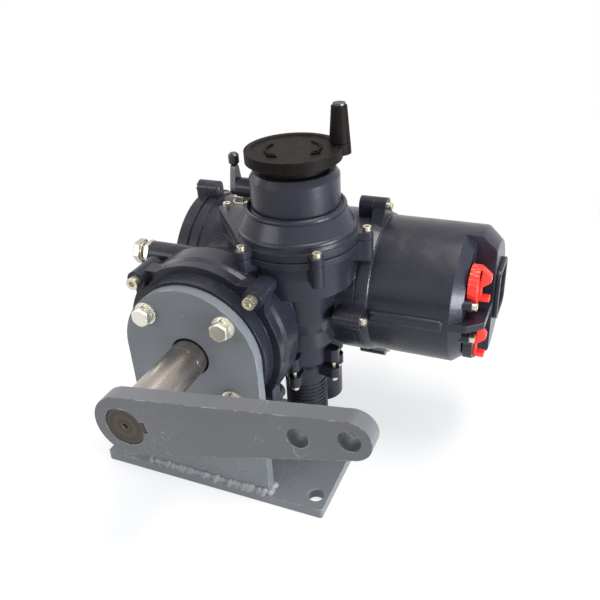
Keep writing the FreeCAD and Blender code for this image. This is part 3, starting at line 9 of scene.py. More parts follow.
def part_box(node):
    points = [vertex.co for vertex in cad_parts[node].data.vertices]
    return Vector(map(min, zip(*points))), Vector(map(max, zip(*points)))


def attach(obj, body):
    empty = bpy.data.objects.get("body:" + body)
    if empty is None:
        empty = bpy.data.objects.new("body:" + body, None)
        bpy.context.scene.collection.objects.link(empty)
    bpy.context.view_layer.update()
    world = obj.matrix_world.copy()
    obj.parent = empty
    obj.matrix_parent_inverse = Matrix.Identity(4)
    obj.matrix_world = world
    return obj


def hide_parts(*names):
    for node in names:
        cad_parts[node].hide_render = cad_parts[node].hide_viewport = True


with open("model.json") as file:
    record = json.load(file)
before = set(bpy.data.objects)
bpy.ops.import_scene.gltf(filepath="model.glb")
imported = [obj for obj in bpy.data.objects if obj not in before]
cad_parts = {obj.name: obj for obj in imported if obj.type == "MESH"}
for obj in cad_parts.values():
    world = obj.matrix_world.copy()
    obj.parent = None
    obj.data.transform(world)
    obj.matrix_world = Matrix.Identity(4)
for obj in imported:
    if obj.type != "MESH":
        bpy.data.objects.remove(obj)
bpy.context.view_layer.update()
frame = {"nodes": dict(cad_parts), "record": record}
bpy.ops.object.select_all(action="DESELECT")
print("frame loaded:", len(frame["nodes"]), "nodes")


# Material building

class Wire:
    # one output socket; sums on it add Math nodes to the same material
    def __init__(self, finish, socket):
        self.finish = finish
        self.socket = socket

    def maths(self, operation, *values):
        inputs = dict(enumerate(values))
        return self.finish.node("Math", {"operation": operation}, inputs)

    def __add__(self, other):
        return self.maths("ADD", self, other)

    def __radd__(self, other):
        return self.maths("ADD", other, self)

    def __sub__(self, other):
        return self.maths("SUBTRACT", self, other)

    def __rsub__(self, other):
        return self.maths("SUBTRACT", other, self)

    def __mul__(self, other):
        return self.maths("MULTIPLY", self, other)

    def __rmul__(self, other):
        return self.maths("MULTIPLY", other, self)

    def __truediv__(self, other):
        return self.maths("DIVIDE", self, other)

    def __pow__(self, other):
        return self.maths("POWER", self, other)


class Finish:
    # one material, and short ways to add the nodes it needs
    def __init__(self, name):
        self.material = bpy.data.materials.new(name)
        self.material.use_nodes = True
        self.tree = self.material.node_tree
        self.tree.nodes.clear()
        self.place = self.node("TexCoord", output="Object")

    def node(self, kind, settings=None, inputs=None, output=0):
        made = self.tree.nodes.new("ShaderNode" + kind)
        for name, value in (settings or {}).items():
            if name == "stops":
                for stop, (position, shade) in zip(made.color_ramp.elements, value):
                    stop.position = position
                    stop.color = shade
            else:
                setattr(made, name, value)
        for name, value in (inputs or {}).items():
            if isinstance(value, Wire):
                self.tree.links.new(value.socket, made.inputs[name])
            else:
                made.inputs[name].default_value = value
        return Wire(self, made.outputs[output])

    def stretched(self, x, y, z, place=None):
        return self.node("VectorMath", {"operation": "MULTIPLY"}, {0: place or self.place, 1: (x, y, z)})

    def noise(self, scale, detail=3, roughness=0.55, place=None, distortion=0):
        return self.node("TexNoise", None, {"Vector": place or self.place, "Scale": scale, "Detail": detail,
                                            "Roughness": roughness, "Distortion": distortion})

    def band(self, value, low, high):
        return self.node("MapRange", {"interpolation_type": "SMOOTHSTEP"},
                         {"Value": value, "From Min": low, "From Max": high})

    def mix(self, amount, first, second):
        return self.node("Mix", {"data_type": "RGBA"}, {0: amount, 6: first, 7: second}, 2)

    def scratches(self, angle, size, width):
        # thin curved hairlines: where two turned, stretched noises cross their middle value
        turned = self.node("Mapping", None, {"Vector": self.place, "Rotation": angle, "Scale": (1, 0.12, 1)})
        line = self.noise(size, 2, 0.5, turned, 0.6)
        near = (line - 0.5).maths("ABSOLUTE", line - 0.5)
        thin = 1 - self.band(near, 0, width)
        return thin * self.band(self.noise(size * 0.35, 1), 0.52, 0.62)

    def edges(self, radius):
        # 0 on flat faces, rising where the surface turns within the radius
        rounded = self.node("Bevel", {"samples": 4}, {"Radius": radius})
        flat = self.node("NewGeometry", output="Normal")
        same = self.node("VectorMath", {"operation": "DOT_PRODUCT"}, {0: rounded, 1: flat}, "Value")
        return self.band(1 - same, 0.008, 0.12)

    def upward(self):
        flat = self.node("NewGeometry", output="Normal")
        return self.node("SeparateXYZ", None, {0: flat}, "Z")

    def surface(self, sockets, height, depth, rounding):
        # the shader: its bump stands on rounded edges, and its constants sit on its own sockets
        rounded = self.node("Bevel", {"samples": 4}, {"Radius": rounding})
        relief = self.node("Bump", None, {"Height": height, "Distance": depth, "Strength": 1.0,
                                          "Normal": rounded})
        shader = self.node("BsdfPrincipled", None, {"Normal": relief, **sockets})
        self.finishOutput(shader)
        return self.material

    def finishOutput(self, shader):
        end = self.tree.nodes.new("ShaderNodeOutputMaterial")
        self.tree.links.new(shader.socket, end.inputs["Surface"])


def colour(red, green, blue):
    # from the 0 to 255 values seen on screen to linear light
    return tuple((value / 255) ** 2.2 for value in (red, green, blue)) + (1,)


def enamelPaint(name, look):
    finish = Finish(name)
    wave = finish.noise(look["peel"], 2)  # slow ripple of sprayed enamel
    cast = finish.noise(look["castGrain"], 4, 0.6)  # sand casting under the paint
    cloud = finish.noise(9, 3)
    dust = finish.band(finish.upward(), 0.35, 0.95) * finish.band(finish.noise(38, 4, 0.65), 0.42, 0.75)
    worn = finish.edges(look["wearReach"]) * finish.band(finish.noise(120, 3), 0.45, 0.65)
    base = finish.mix(cloud, look["dark"], look["light"])
    dusty = finish.mix(dust * look["dust"], base, look["dustShade"])
    shade = finish.mix(worn * look["wear"], dusty, look["wornShade"])
    rough = look["rough"] + cloud * 0.09 + dust * 0.16 + finish.noise(260, 2) * 0.05
    height = wave * 0.6 + cast * 0.4
    return finish.surface({"Base Color": shade, "Roughness": rough, "IOR": look["gloss"],
                           "Coat Weight": look["coat"], "Coat Roughness": 0.12},
                          height, look["relief"], look["rounding"])


def satinPaint(name, look):
    finish = Finish(name)
    cloud = finish.noise(14, 4, 0.6)
    runs = finish.noise(26, 3, 0.6, finish.stretched(1, 1, 0.22))  # brushed and rolled streaks
    grit = finish.noise(900, 3, 0.65)
    speck = finish.node("TexVoronoi", {"feature": "F1"}, {"Vector": finish.place, "Scale": 95.0}, "Distance")
    spots = (1 - finish.band(speck, 0.05, 0.11)) * finish.band(finish.noise(17, 1), 0.5, 0.66)
    hair = finish.scratches((0.4, 0.9, 0.3), 46, 0.0022) + finish.scratches((1.3, 0.2, 1.1), 30, 0.0016)
    lines = finish.band(hair, 0.2, 0.9)
    worn = finish.edges(look["wearReach"]) * finish.band(finish.noise(85, 4, 0.6), 0.47, 0.62)
    grime = finish.band(finish.noise(33, 5, 0.7, None, 0.8), 0.56, 0.78)
    base = finish.mix(cloud * 0.6 + runs * 0.4, look["dark"], look["light"])
    grimy = finish.mix(grime * 0.4, base, look["rustShade"])
    spotted = finish.mix(spots * 0.75, grimy, look["speckShade"])
    lined = finish.mix(lines * 0.6, spotted, look["scratchShade"])
    shade = finish.mix(worn * look["wear"], lined, look["wornShade"])
    rough = look["rough"] + runs * 0.16 + grime * 0.12 - lines * 0.1 + worn * 0.08
    height = grit * 0.5 + runs * 0.5 - lines * 0.35
    return finish.surface({"Base Color": shade, "Roughness": rough, "IOR": 1.48,
                           "Metallic": worn * look["bareMetal"]}, height, look["relief"], look["rounding"])


def plated(name, look):
    finish = Finish(name)
    patch = finish.noise(180, 4, 0.6)
    fine = finish.noise(1400, 3, 0.6)
    stain = finish.band(finish.noise(75, 4, 0.7), 0.52, 0.8)
    worn = finish.edges(0.0007)
    base = finish.mix(patch, look["dark"], look["light"])
    stained = finish.mix(stain * look["stain"], base, look["stainAndPaintedShade"])
    shade = finish.mix(worn * 0.5, stained, look["brightEdge"])
    rough = look["rough"] + patch * 0.16 + stain * 0.14
    return finish.surface({"Base Color": shade, "Roughness": rough, "Metallic": look["metal"]},
                          fine * 0.6 + patch * 0.4, look["relief"], look["rounding"])


def turnedSteel(name, look):
    # tool marks ring the shaft's axis: along it on the round, and outwards on the end faces
    finish = Finish(name)
    centred = finish.node("VectorMath", {"operation": "SUBTRACT"}, {0: finish.place, 1: look["axisPoint"]})
    flat = finish.node("VectorMath", {"operation": "MULTIPLY"}, {0: centred, 1: look["across"]})
    radius = finish.node("VectorMath", {"operation": "LENGTH"}, {0: flat}, "Value")
    along = finish.node("VectorMath", {"operation": "DOT_PRODUCT"}, {0: centred, 1: look["along"]}, "Value")
    rings = finish.node("CombineXYZ", None, {0: radius, 1: along})
    marks = finish.noise(look["rings"], 3, 0.7, rings)
    broad = finish.noise(look["rings"] * 0.09, 2, 0.5, rings)
    blotch = finish.noise(55, 4, 0.65)
    facing = finish.node("NewGeometry", output="Normal")
    ends = finish.node("VectorMath", {"operation": "DOT_PRODUCT"}, {0: facing, 1: look["along"]}, "Value")
    onEnd = finish.band(ends.maths("ABSOLUTE", ends), 0.85, 0.98)
    rust = finish.band(finish.noise(120, 5, 0.7), 0.6, 0.8) * finish.band(blotch, 0.45, 0.7)
    base = finish.mix(broad * 0.6 + blotch * 0.25 + marks * 0.15, look["dark"], look["light"])
    stained = finish.mix(rust * look["stain"], base, look["stainAndPaintedShade"])
    # painted shade: within a few millimetres of the axis, in the centre drill's hollow, the colour is
    # darkened towards the stain colour
    centreHoleShade = 1 - finish.band(radius, 0.0022, 0.0042)
    # painted shade: faces that look along the axis, the end faces, are darkened towards the stain colour,
    # standing in for their dark reflections
    endFaceShade = onEnd * look["endPaintedShade"] * (0.75 + broad * 0.35)
    shade = finish.mix(endFaceShade.maths("MAXIMUM", endFaceShade, centreHoleShade), stained, look["stainAndPaintedShade"])
    rough = look["rough"] + marks * 0.14 + rust * 0.2 + onEnd * 0.16
    return finish.surface({"Base Color": shade, "Roughness": rough, "Metallic": 1.0}, marks, look["relief"],
                          0.0005)


def mouldedPlastic(name, look):
    finish = Finish(name)
    grain = finish.noise(look["grain"], 3, 0.6)
    cloud = finish.noise(60, 3)
    rubbed = finish.edges(0.0009) * finish.band(finish.noise(150, 3), 0.42, 0.62)
    dust = finish.band(finish.upward(), 0.5, 1) * finish.band(finish.noise(90, 4, 0.7), 0.5, 0.8)
    base = finish.mix(cloud, look["dark"], look["light"])
    dusty = finish.mix(dust * look["dust"], base, (0.25, 0.23, 0.2, 1))
    shade = finish.mix(rubbed * look["rub"], dusty, look["rubShade"])
    rough = look["rough"] + cloud * 0.12 - rubbed * 0.08
    return finish.surface({"Base Color": shade, "Roughness": rough, "IOR": look["gloss"]}, grain,
                          look["relief"], look["rounding"])


def windowGlass(name):
    finish = Finish(name)
    smear = finish.noise(60, 4, 0.6, None, 1.2)
    rough = 0.03 + finish.band(smear, 0.45, 0.8) * 0.12
    wave = finish.noise(30, 1)
    return finish.surface({"Base Color": (0.04, 0.05, 0.05, 1), "Roughness": rough, "IOR": 1.5,
                           "Alpha": 0.22}, wave, 0.00002, 0.0006)


def circuitBoard(name):
    finish = Finish(name)
    tracks = finish.node("TexBrick", None, {"Vector": finish.stretched(1, 1, 1), "Scale": 160.0}, "Fac")
    weave = finish.noise(900, 2)
    shade = finish.mix(tracks * 0.5, (0.012, 0.075, 0.03, 1), (0.03, 0.14, 0.06, 1))
    return finish.surface({"Base Color": shade, "Roughness": 0.35 + weave * 0.1}, tracks * 0.5 + weave * 0.2,
                          0.00003, 0.0003)


shaftPoint = (0, 0, 0.178)
wormPoint = (0.075, 0.039, 0)
bodyLook = {"dark": colour(33, 34, 41), "light": colour(43, 44, 53), "dustShade": colour(104, 98, 92),
            "wornShade": colour(92, 92, 98), "dust": 0.10, "wear": 0.35, "wearReach": 0.0011,
            "rough": 0.21, "coat": 0.06, "gloss": 1.34, "peel": 230, "castGrain": 850, "relief": 0.00016,
            "rounding": 0.0016}
bracketLook = {"dark": colour(88, 91, 95), "light": colour(108, 112, 116),
               "speckShade": colour(48, 46, 45), "scratchShade": colour(160, 163, 166),
               "wornShade": colour(184, 188, 194), "bareMetal": 0.3, "rustShade": colour(104, 88, 76),
               "wear": 0.7, "wearReach": 0.0014, "rough": 0.30, "relief": 0.00014, "rounding": 0.0008}
zincLook = {"dark": (0.62, 0.60, 0.51, 1), "light": (0.80, 0.78, 0.69, 1),
            "stainAndPaintedShade": (0.36, 0.30, 0.18, 1), "brightEdge": (0.90, 0.88, 0.80, 1), "stain": 0.22,
            "rough": 0.24, "metal": 0.9, "relief": 0.00004, "rounding": 0.0005}
screwLook = {**zincLook, "dark": (0.50, 0.43, 0.31, 1), "light": (0.78, 0.73, 0.60, 1),
             "stainAndPaintedShade": (0.25, 0.17, 0.10, 1), "rough": 0.16}
nickelLook = {**zincLook, "dark": (0.46, 0.42, 0.35, 1), "light": (0.58, 0.53, 0.45, 1), "rough": 0.2,
              "stainAndPaintedShade": (0.22, 0.16, 0.11, 1)}
# the stain colour below is also the painted shade of the end faces and the centre hole; the end darkening
# sets how much painted shade the end faces take
shaftLook = {"axisPoint": shaftPoint, "across": (1, 0, 1), "along": (0, 1, 0), "rings": 2600,
             "dark": (0.30, 0.265, 0.24, 1), "light": (0.46, 0.415, 0.385, 1),
             "stainAndPaintedShade": (0.055, 0.045, 0.036, 1), "stain": 0.12, "endPaintedShade": 1.0, "rough": 0.2,
             "relief": 0.00003}
wormLook = {**shaftLook, "axisPoint": wormPoint, "across": (1, 1, 0), "along": (0, 0, 1), "stain": 0.1}
darkLook = {**wormLook, "dark": (0.07, 0.07, 0.075, 1), "light": (0.12, 0.12, 0.13, 1), "rough": 0.3,
            "endPaintedShade": 0.1}
bronzeLook = {**shaftLook, "dark": (0.42, 0.27, 0.12, 1), "light": (0.60, 0.42, 0.20, 1), "rough": 0.25}
copperLook = {**wormLook, "dark": (0.40, 0.16, 0.07, 1), "light": (0.62, 0.28, 0.13, 1), "rings": 900}
ironLook = {**zincLook, "dark": (0.14, 0.14, 0.145, 1), "light": (0.24, 0.24, 0.25, 1), "rough": 0.4}
wheelLook = {"dark": colour(22, 19, 17), "light": colour(31, 27, 25), "rubShade": colour(82, 74, 68),
             "dust": 0.05, "rub": 0.5, "gloss": 1.16, "grain": 1100, "rough": 0.46, "relief": 0.00008,
             "rounding": 0.0008}
redLook = {"dark": colour(214, 36, 30), "light": colour(240, 58, 46), "rubShade": colour(250, 130, 112),
           "dust": 0.05, "rub": 0.3, "gloss": 1.49, "grain": 1600, "rough": 0.26, "relief": 0.00003,
           "rounding": 0.0009}
blackLook = {**redLook, "dark": colour(26, 26, 27), "light": colour(38, 38, 40),
             "rubShade": colour(90, 88, 86)}
rubberLook = {**wheelLook, "dark": colour(22, 22, 22), "light": colour(32, 32, 32), "rough": 0.55,
              "rub": 0.1}
screenLook = {**blackLook, "dark": colour(38, 48, 44), "light": colour(46, 58, 52), "rough": 0.12,
              "rub": 0}
leverLook = {**bracketLook, "dark": colour(78, 79, 82), "light": colour(97, 99, 102)}
# the arrows' black is darker than the wheel's: painted shade, so that they read as dark lines
arrowShadeLook = {**wheelLook, "dark": colour(8, 7, 6), "light": colour(13, 12, 11), "gloss": 1.12, "rub": 0.1}
# the weld beads' grey is lighter than the bracket paint: a painted highlight on the beads
weldHighlightLook = {**bracketLook, "dark": colour(104, 104, 106), "light": colour(140, 140, 143),
            "relief": 0.00022, "rough": 0.32, "wear": 0.5}

finishes = {
    "body_paint": enamelPaint("dark enamel", bodyLook),
    "bracket_paint": satinPaint("bracket paint", bracketLook),
    "weld": satinPaint("painted weld", weldHighlightLook),
    "shaft_steel": turnedSteel("ground shaft", shaftLook),
    "zinc": plated("bright zinc", zincLook),
    "screw_steel": plated("yellow plated screws", screwLook),
    "handwheel_black": mouldedPlastic("handwheel black", wheelLook),
    "seal_rubber": mouldedPlastic("seal rubber", rubberLook),
    "bronze": turnedSteel("bearing bronze", bronzeLook),
    "gear_iron": plated("machined iron", ironLook),
    "knob_red": mouldedPlastic("red knob", redLook),
    "knob_black": mouldedPlastic("black knob", blackLook),
    "glass": windowGlass("window glass"),
    "screen": mouldedPlastic("dark screen", screenLook),
    "board": circuitBoard("circuit board"),
    "winding": turnedSteel("copper winding", copperLook),
    "plug_steel": plated("nickel plugs", nickelLook),
}

# Pieces whose finish isn't their slot's own
nickelBolts = finishes["plug_steel"]
wormSteel = turnedSteel("worm steel", wormLook)
darkSteel = turnedSteel("darkened steel", darkLook)
arrowShadeBlack = mouldedPlastic("arrow black", arrowShadeLook)
ownFinish = {"lever_arm": satinPaint("lever paint", leverLook), "stop_bolts": nickelBolts,
             "stop_lock_nuts": nickelBolts, "worm_shaft": wormSteel, "handwheel_shaft": wormSteel,
             "crank_pin": darkSteel, "clutch_lever": darkSteel, "clutch_sleeve": wormSteel,
             "clutch_shaft": wormSteel, "worm_bearing_upper": wormSteel, "worm_bearing_lower": wormSteel}
slotOf = {part["node"]: part["material_slot"] for part in frame["record"]["subparts"]}
for name, piece in frame["nodes"].items():
    for place in piece.material_slots:
        place.material = ownFinish.get(name, finishes[slotOf[name]])
print("materials made:", len(bpy.data.materials))


# Modelling helpers

def startEdit(mode="FACE"):
    bpy.ops.object.mode_set(mode="EDIT")
    bpy.ops.mesh.select_mode(type=mode)


def chooseFaces(piece, wanted):
    # leaves the piece in edit mode with just the faces that the test wants
    startEdit()
    bpy.ops.mesh.select_all(action="DESELECT")
    bpy.ops.object.mode_set(mode="OBJECT")
    for face in piece.data.polygons:
        face.select = wanted(face.center, face.normal)
    bpy.ops.object.mode_set(mode="EDIT")


def joined(pieces):
    bpy.ops.object.select_all(action="DESELECT")
    for piece in pieces:
        piece.select_set(True)
    bpy.context.view_layer.objects.active = pieces[0]
    bpy.ops.object.join()
    return bpy.context.object


def applied(piece, kind, **settings):
    bpy.context.view_layer.objects.active = piece
    change = piece.modifiers.new(kind.title(), kind)
    for name, value in settings.items():
        setattr(change, name, value)
    bpy.ops.object.modifier_apply(modifier=change.name)


def block(low, high):
    # a box from its lowest corner to its highest
    low, high = Vector(low), Vector(high)
    bpy.ops.mesh.primitive_cube_add(size=1, location=(low + high) / 2)
    bpy.context.object.scale = high - low
    bpy.ops.object.transform_apply(location=True, rotation=True, scale=True)
    return bpy.context.object


def drum(axis, centre, start, end, radius, endRadius=None, vertices=64):
    # a cylinder or a cone along an axis, from its lower end to its higher one
    turns = {"X": (0, math.pi / 2, 0), "Y": (-math.pi / 2, 0, 0), "Z": (0, 0, 0)}
    middle = (start + end) / 2
    places = {"X": (middle, *centre), "Y": (centre[0], middle, centre[1]), "Z": (*centre, middle)}
    bpy.ops.mesh.primitive_cone_add(vertices=vertices, radius1=radius, radius2=endRadius or radius,
                                    depth=end - start, location=places[axis], rotation=turns[axis])
    bpy.ops.object.transform_apply(location=True, rotation=True, scale=True)
    return bpy.context.object


def combined(piece, other, operation="UNION"):
    applied(piece, "BOOLEAN", operation=operation, object=other, solver="EXACT")
    bpy.data.objects.remove(other)
    return piece


def softened(piece, width, segments=2, angle=40):
    applied(piece, "BEVEL", width=width, segments=segments, limit_method="ANGLE",
            angle_limit=math.radians(angle))
    return piece


def handOver(piece, name, body, slot, angle=35, finish=None, instead=()):
    # puts the place into the mesh, points the faces outwards and gives the piece to its body
    bpy.ops.object.select_all(action="DESELECT")
    piece.select_set(True)
    bpy.context.view_layer.objects.active = piece
    bpy.ops.object.transform_apply(location=True, rotation=True, scale=True)
    startEdit()
    bpy.ops.mesh.select_all(action="SELECT")
    bpy.ops.mesh.remove_doubles(threshold=0.000005)
    bpy.ops.mesh.normals_make_consistent(inside=False)
    bpy.ops.object.mode_set(mode="OBJECT")
    bpy.ops.object.shade_smooth_by_angle(angle=math.radians(angle))
    piece.name = name
    piece.data.name = name
    piece.data.materials.clear()
    piece.data.materials.append(finish or finishes[slot])
    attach(piece, body)
    if instead:
        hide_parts(*instead)
    piece.select_set(False)
    return piece


# Weld beads along the foot of the upright plate

weldSizes = {"pitch": 0.0038, "radius": 0.0062, "wander": 0.0013, "voxel": 0.0008, "seed": 7,
             "radiusSpread": (0.72, 1.12), "outSpread": (-0.3, 0.6), "upSpread": (-0.4, 1),
             "frontShape": (0.6, 0.62, 1.1), "rearShape": (0.6, 1.0, 1.1),
             "lean": (0.25, 0.5), "twist": (-0.2, 0.2),
             "spatter": 26, "spatterFoot": 0.006, "spatterReach": 0.018, "spatterRadius": (0.0005, 0.0013),
             "endDrops": 3, "endSpread": (0.55, 0.8), "endOut": (0, 0.4), "endUp": (0, 0.5), "endPitch": 0.8}


def makeWeld(name, side, rng):
    low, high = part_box("bracket_welds")
    plateLow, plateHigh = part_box("upright_plate")
    corner = plateLow.y if side < 0 else plateHigh.y
    count = int((high.x - low.x) / weldSizes["pitch"])
    drops = []
    for index in range(count + 1):
        radius = weldSizes["radius"] * rng.uniform(*weldSizes["radiusSpread"])
        x = low.x + radius + (high.x - low.x - 2 * radius) * index / count
        place = (x, corner + side * rng.uniform(*weldSizes["outSpread"]) * weldSizes["wander"],
                 low.z + rng.uniform(*weldSizes["upSpread"]) * weldSizes["wander"])
        bpy.ops.mesh.primitive_uv_sphere_add(segments=16, ring_count=10, radius=radius, location=place)
        drop = bpy.context.object
        drop.scale = weldSizes["rearShape" if side > 0 else "frontShape"]
        drop.rotation_euler = (0, rng.uniform(*weldSizes["lean"]), rng.uniform(*weldSizes["twist"]))
        drops.append(drop)
    for index in range(weldSizes["spatter"]):
        place = (rng.uniform(low.x, high.x) * 0.98, corner + side * 0.0004,
                 low.z + weldSizes["spatterFoot"] + rng.uniform(0, 1) ** 2 * weldSizes["spatterReach"])
        bpy.ops.mesh.primitive_uv_sphere_add(segments=10, ring_count=6, location=place,
                                             radius=rng.uniform(*weldSizes["spatterRadius"]))
        drops.append(bpy.context.object)
    for end in (-1, 1):
        plateEnd = plateHigh.x if end > 0 else plateLow.x
        for index in range(weldSizes["endDrops"]):
            radius = weldSizes["radius"] * rng.uniform(*weldSizes["endSpread"])
            place = (plateEnd + end * rng.uniform(*weldSizes["endOut"]) * radius,
                     corner - side * index * weldSizes["pitch"] * weldSizes["endPitch"],
                     low.z + rng.uniform(*weldSizes["endUp"]) * radius)
            bpy.ops.mesh.primitive_uv_sphere_add(segments=14, ring_count=8, radius=radius, location=place)
            drops.append(bpy.context.object)
    bead = joined(drops)
    bpy.ops.object.transform_apply(location=True, rotation=True, scale=True)
    applied(bead, "REMESH", mode="VOXEL", voxel_size=weldSizes["voxel"], use_smooth_shade=True)
    applied(bead, "SMOOTH", factor=0.5, iterations=2)
    return handOver(bead, name, "housing", "weld", 60)


rng = random.Random(weldSizes["seed"])
frontWeld = makeWeld("front_weld_bead", -1, rng)
rearWeld = makeWeld("rear_weld_bead", 1, rng)
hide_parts("bracket_welds")
print("welds made")


# Handwheel: a dished disc on a skirt, with a lug for the crank's pin

handwheelSizes = {"radius": 0.0481, "rim": 0.0052, "slope": 0.0012, "dish": 0.0016, "skirt": 0.0350,
                  "disc": 0.0107, "lugFoot": 0.0112, "lugTop": 0.0106, "bore": 0.0081, "roof": 0.0045,
                  "overlap": 0.001, "soft": 0.0006}
gripSizes = {"foot": 0.0105, "top": 0.0078, "soft": 0.0005}


def makeHandwheel():
    low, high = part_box("handwheel")
    pinLow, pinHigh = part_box("crank_pin")
    crank = ((pinLow.x + pinHigh.x) / 2, (pinLow.y + pinHigh.y) / 2)
    foot = high.z - handwheelSizes["disc"]
    wheel = drum("Z", wormPoint[:2], foot, high.z, handwheelSizes["radius"], vertices=128)
    lug = drum("Z", crank, foot, high.z, handwheelSizes["lugFoot"], handwheelSizes["lugTop"], 48)
    wheel = combined(wheel, lug)
    chooseFaces(wheel, lambda centre, normal: normal.z > 0.9)
    bpy.ops.mesh.dissolve_faces()
    bpy.ops.object.mode_set(mode="OBJECT")
    dish = drum("Z", wormPoint[:2], high.z - handwheelSizes["dish"], high.z + handwheelSizes["dish"],
                handwheelSizes["radius"] - handwheelSizes["rim"] - handwheelSizes["slope"],
                handwheelSizes["radius"] - handwheelSizes["rim"] + handwheelSizes["slope"], 128)
    wheel = combined(wheel, dish, "DIFFERENCE")
    overlap = handwheelSizes["overlap"]
    skirt = drum("Z", wormPoint[:2], low.z, foot + overlap, handwheelSizes["skirt"], vertices=128)
    wheel = combined(wheel, skirt)
    bore = drum("Z", wormPoint[:2], low.z - overlap, high.z - handwheelSizes["roof"], handwheelSizes["bore"],
                vertices=48)
    wheel = combined(wheel, bore, "DIFFERENCE")
    softened(wheel, handwheelSizes["soft"], 3)
    handOver(wheel, "handwheel_disc", "handwheel", "handwheel_black", 40, None, ("handwheel",))


def makeGrip():
    low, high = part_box("crank_grip")
    centre = ((low.x + high.x) / 2, (low.y + high.y) / 2)
    grip = drum("Z", centre, low.z, high.z, gripSizes["foot"], gripSizes["top"])
    softened(grip, gripSizes["soft"], 4)
    handOver(grip, "tapered_grip", "grip", "handwheel_black", 40, None, ("crank_grip",))


makeHandwheel()
makeGrip()


# Rounded rings where the cap's neck and shoulder turn

capRings = {"neck": {"radius": 0.0492, "thickness": 0.0024, "height": 0.3042},
            "shoulder": {"radius": 0.0586, "thickness": 0.0029, "height": 0.2836}}
ringStretch = 1.25


def makeCapRings():
    rings = []
    for sizes in capRings.values():
        bpy.ops.mesh.primitive_torus_add(major_segments=160, minor_segments=20, major_radius=sizes["radius"],
                                         minor_radius=sizes["thickness"],
                                         location=(wormPoint[0], wormPoint[1], sizes["height"]))
        ring = bpy.context.object
        ring.scale.z = ringStretch
        rings.append(ring)
    handOver(joined(rings), "cap_rounded_rings", "housing", "body_paint", 60)


makeCapRings()


# Curved arrows raised on the handwheel's face, one each way, in a darker black than the wheel: painted shade
# that makes them read as dark lines

arrowSizes = {"radius": 0.0268, "width": 0.0036, "height": 0.0014, "sweep": 84, "steps": 24, "head": 0.0060,
              "sliver": 0.0001, "sink": 0.0004, "soft": 0.00025, "middles": (205, 25)}


def makeArrow(name, middle, way):
    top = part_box("handwheel")[1].z
    centre = Vector((wormPoint[0], wormPoint[1], top - handwheelSizes["dish"]))
    start = math.radians(middle - way * arrowSizes["sweep"] / 2)
    sweep = math.radians(arrowSizes["sweep"])
    radius = arrowSizes["radius"]
    spots = [start + way * sweep * share for share in (0, 1)]
    half = arrowSizes["width"] / 2
    bar = block(centre + Vector((radius - half, -arrowSizes["sliver"], -arrowSizes["sink"])),
                centre + Vector((radius + half, arrowSizes["sliver"], arrowSizes["height"])))
    turned = Matrix.Rotation(spots[0], 4, "Z")
    bar.data.transform(Matrix.Translation(centre) @ turned @ Matrix.Translation(-centre))
    ahead = Vector((-way * math.sin(spots[0]), way * math.cos(spots[0]), 0))
    chooseFaces(bar, lambda place, normal: normal.dot(ahead) > 0.9)
    bpy.ops.mesh.spin(steps=arrowSizes["steps"], angle=-way * sweep, center=centre, axis=(0, 0, 1))
    bpy.ops.object.mode_set(mode="OBJECT")
    tip = centre + Vector((radius * math.cos(spots[1]), radius * math.sin(spots[1]), 0))
    bpy.ops.mesh.primitive_cone_add(vertices=3, radius1=arrowSizes["head"], radius2=arrowSizes["head"],
                                    depth=arrowSizes["height"] * 2, location=tip,
                                    rotation=(0, 0, spots[1] + way * math.pi / 2 - math.pi / 2))
    head = bpy.context.object
    bpy.ops.object.transform_apply(location=True, rotation=True, scale=True)
    arrow = softened(joined([bar, head]), arrowSizes["soft"])
    return handOver(arrow, name, "handwheel", "handwheel_black", 40, arrowShadeBlack)


for name, middle, way in (("opening_arrow", arrowSizes["middles"][0], 1),
                          ("closing_arrow", arrowSizes["middles"][1], -1)):
    makeArrow(name, middle, way)
print("handwheel made")


# Screw threads on the stop bolts, between the lock nuts and the housing

threadSizes = {"radius": 0.0079, "ridge": 0.0005, "pitch": 0.0015, "steps": 28}


def makeThread(name, start, end, centre, body, slot, finish):
    turns = int((end - start) / threadSizes["pitch"])
    bpy.ops.mesh.primitive_circle_add(vertices=3, radius=threadSizes["ridge"],
                                      location=(threadSizes["radius"], 0, 0), rotation=(math.pi / 2, 0, 0))
    ridge = bpy.context.object
    bpy.ops.object.transform_apply(location=True, rotation=True, scale=True)
    applied(ridge, "SCREW", axis="Z", screw_offset=threadSizes["pitch"], iterations=turns,
            steps=threadSizes["steps"], render_steps=threadSizes["steps"])
    turned = Matrix.Rotation(math.pi / 2, 4, "Y")
    ridge.data.transform(Matrix.Translation((start, centre[0], centre[1])) @ turned)
    return handOver(ridge, name, body, slot, 60, finish)


# Bolt heads: a hexagon cut to a cone at its free end

chamferShare = 0.97  # of half the width across flats


def hexHead(axis, centre, start, end, flats, free):
    # free is 1 where the outer end points up the axis, -1 where it points down, 0 where both ends are cut
    corner = flats / math.sqrt(3)
    spread = (end - start) * math.sqrt(3)
    head = drum(axis, centre, start, end, corner, vertices=6)
    narrow = flats / 2 * chamferShare
    if free >= 0:
        head = combined(head, drum(axis, centre, start, end, narrow + spread, narrow), "INTERSECT")
    if free <= 0:
        head = combined(head, drum(axis, centre, start, end, narrow, narrow + spread), "INTERSECT")
    return head


plateBoltSizes = {"offset": 0.0442, "flats": 0.018, "shank": 0.006, "collar": 0.0086, "collarDepth": 0.0009}
stopBoltSizes = {"flats": 0.024, "rise": 0.068, "head": 0.0082, "collar": 0.0112, "collarDepth": 0.0020,
                 "nut": 0.0062, "shank": 0.0077}


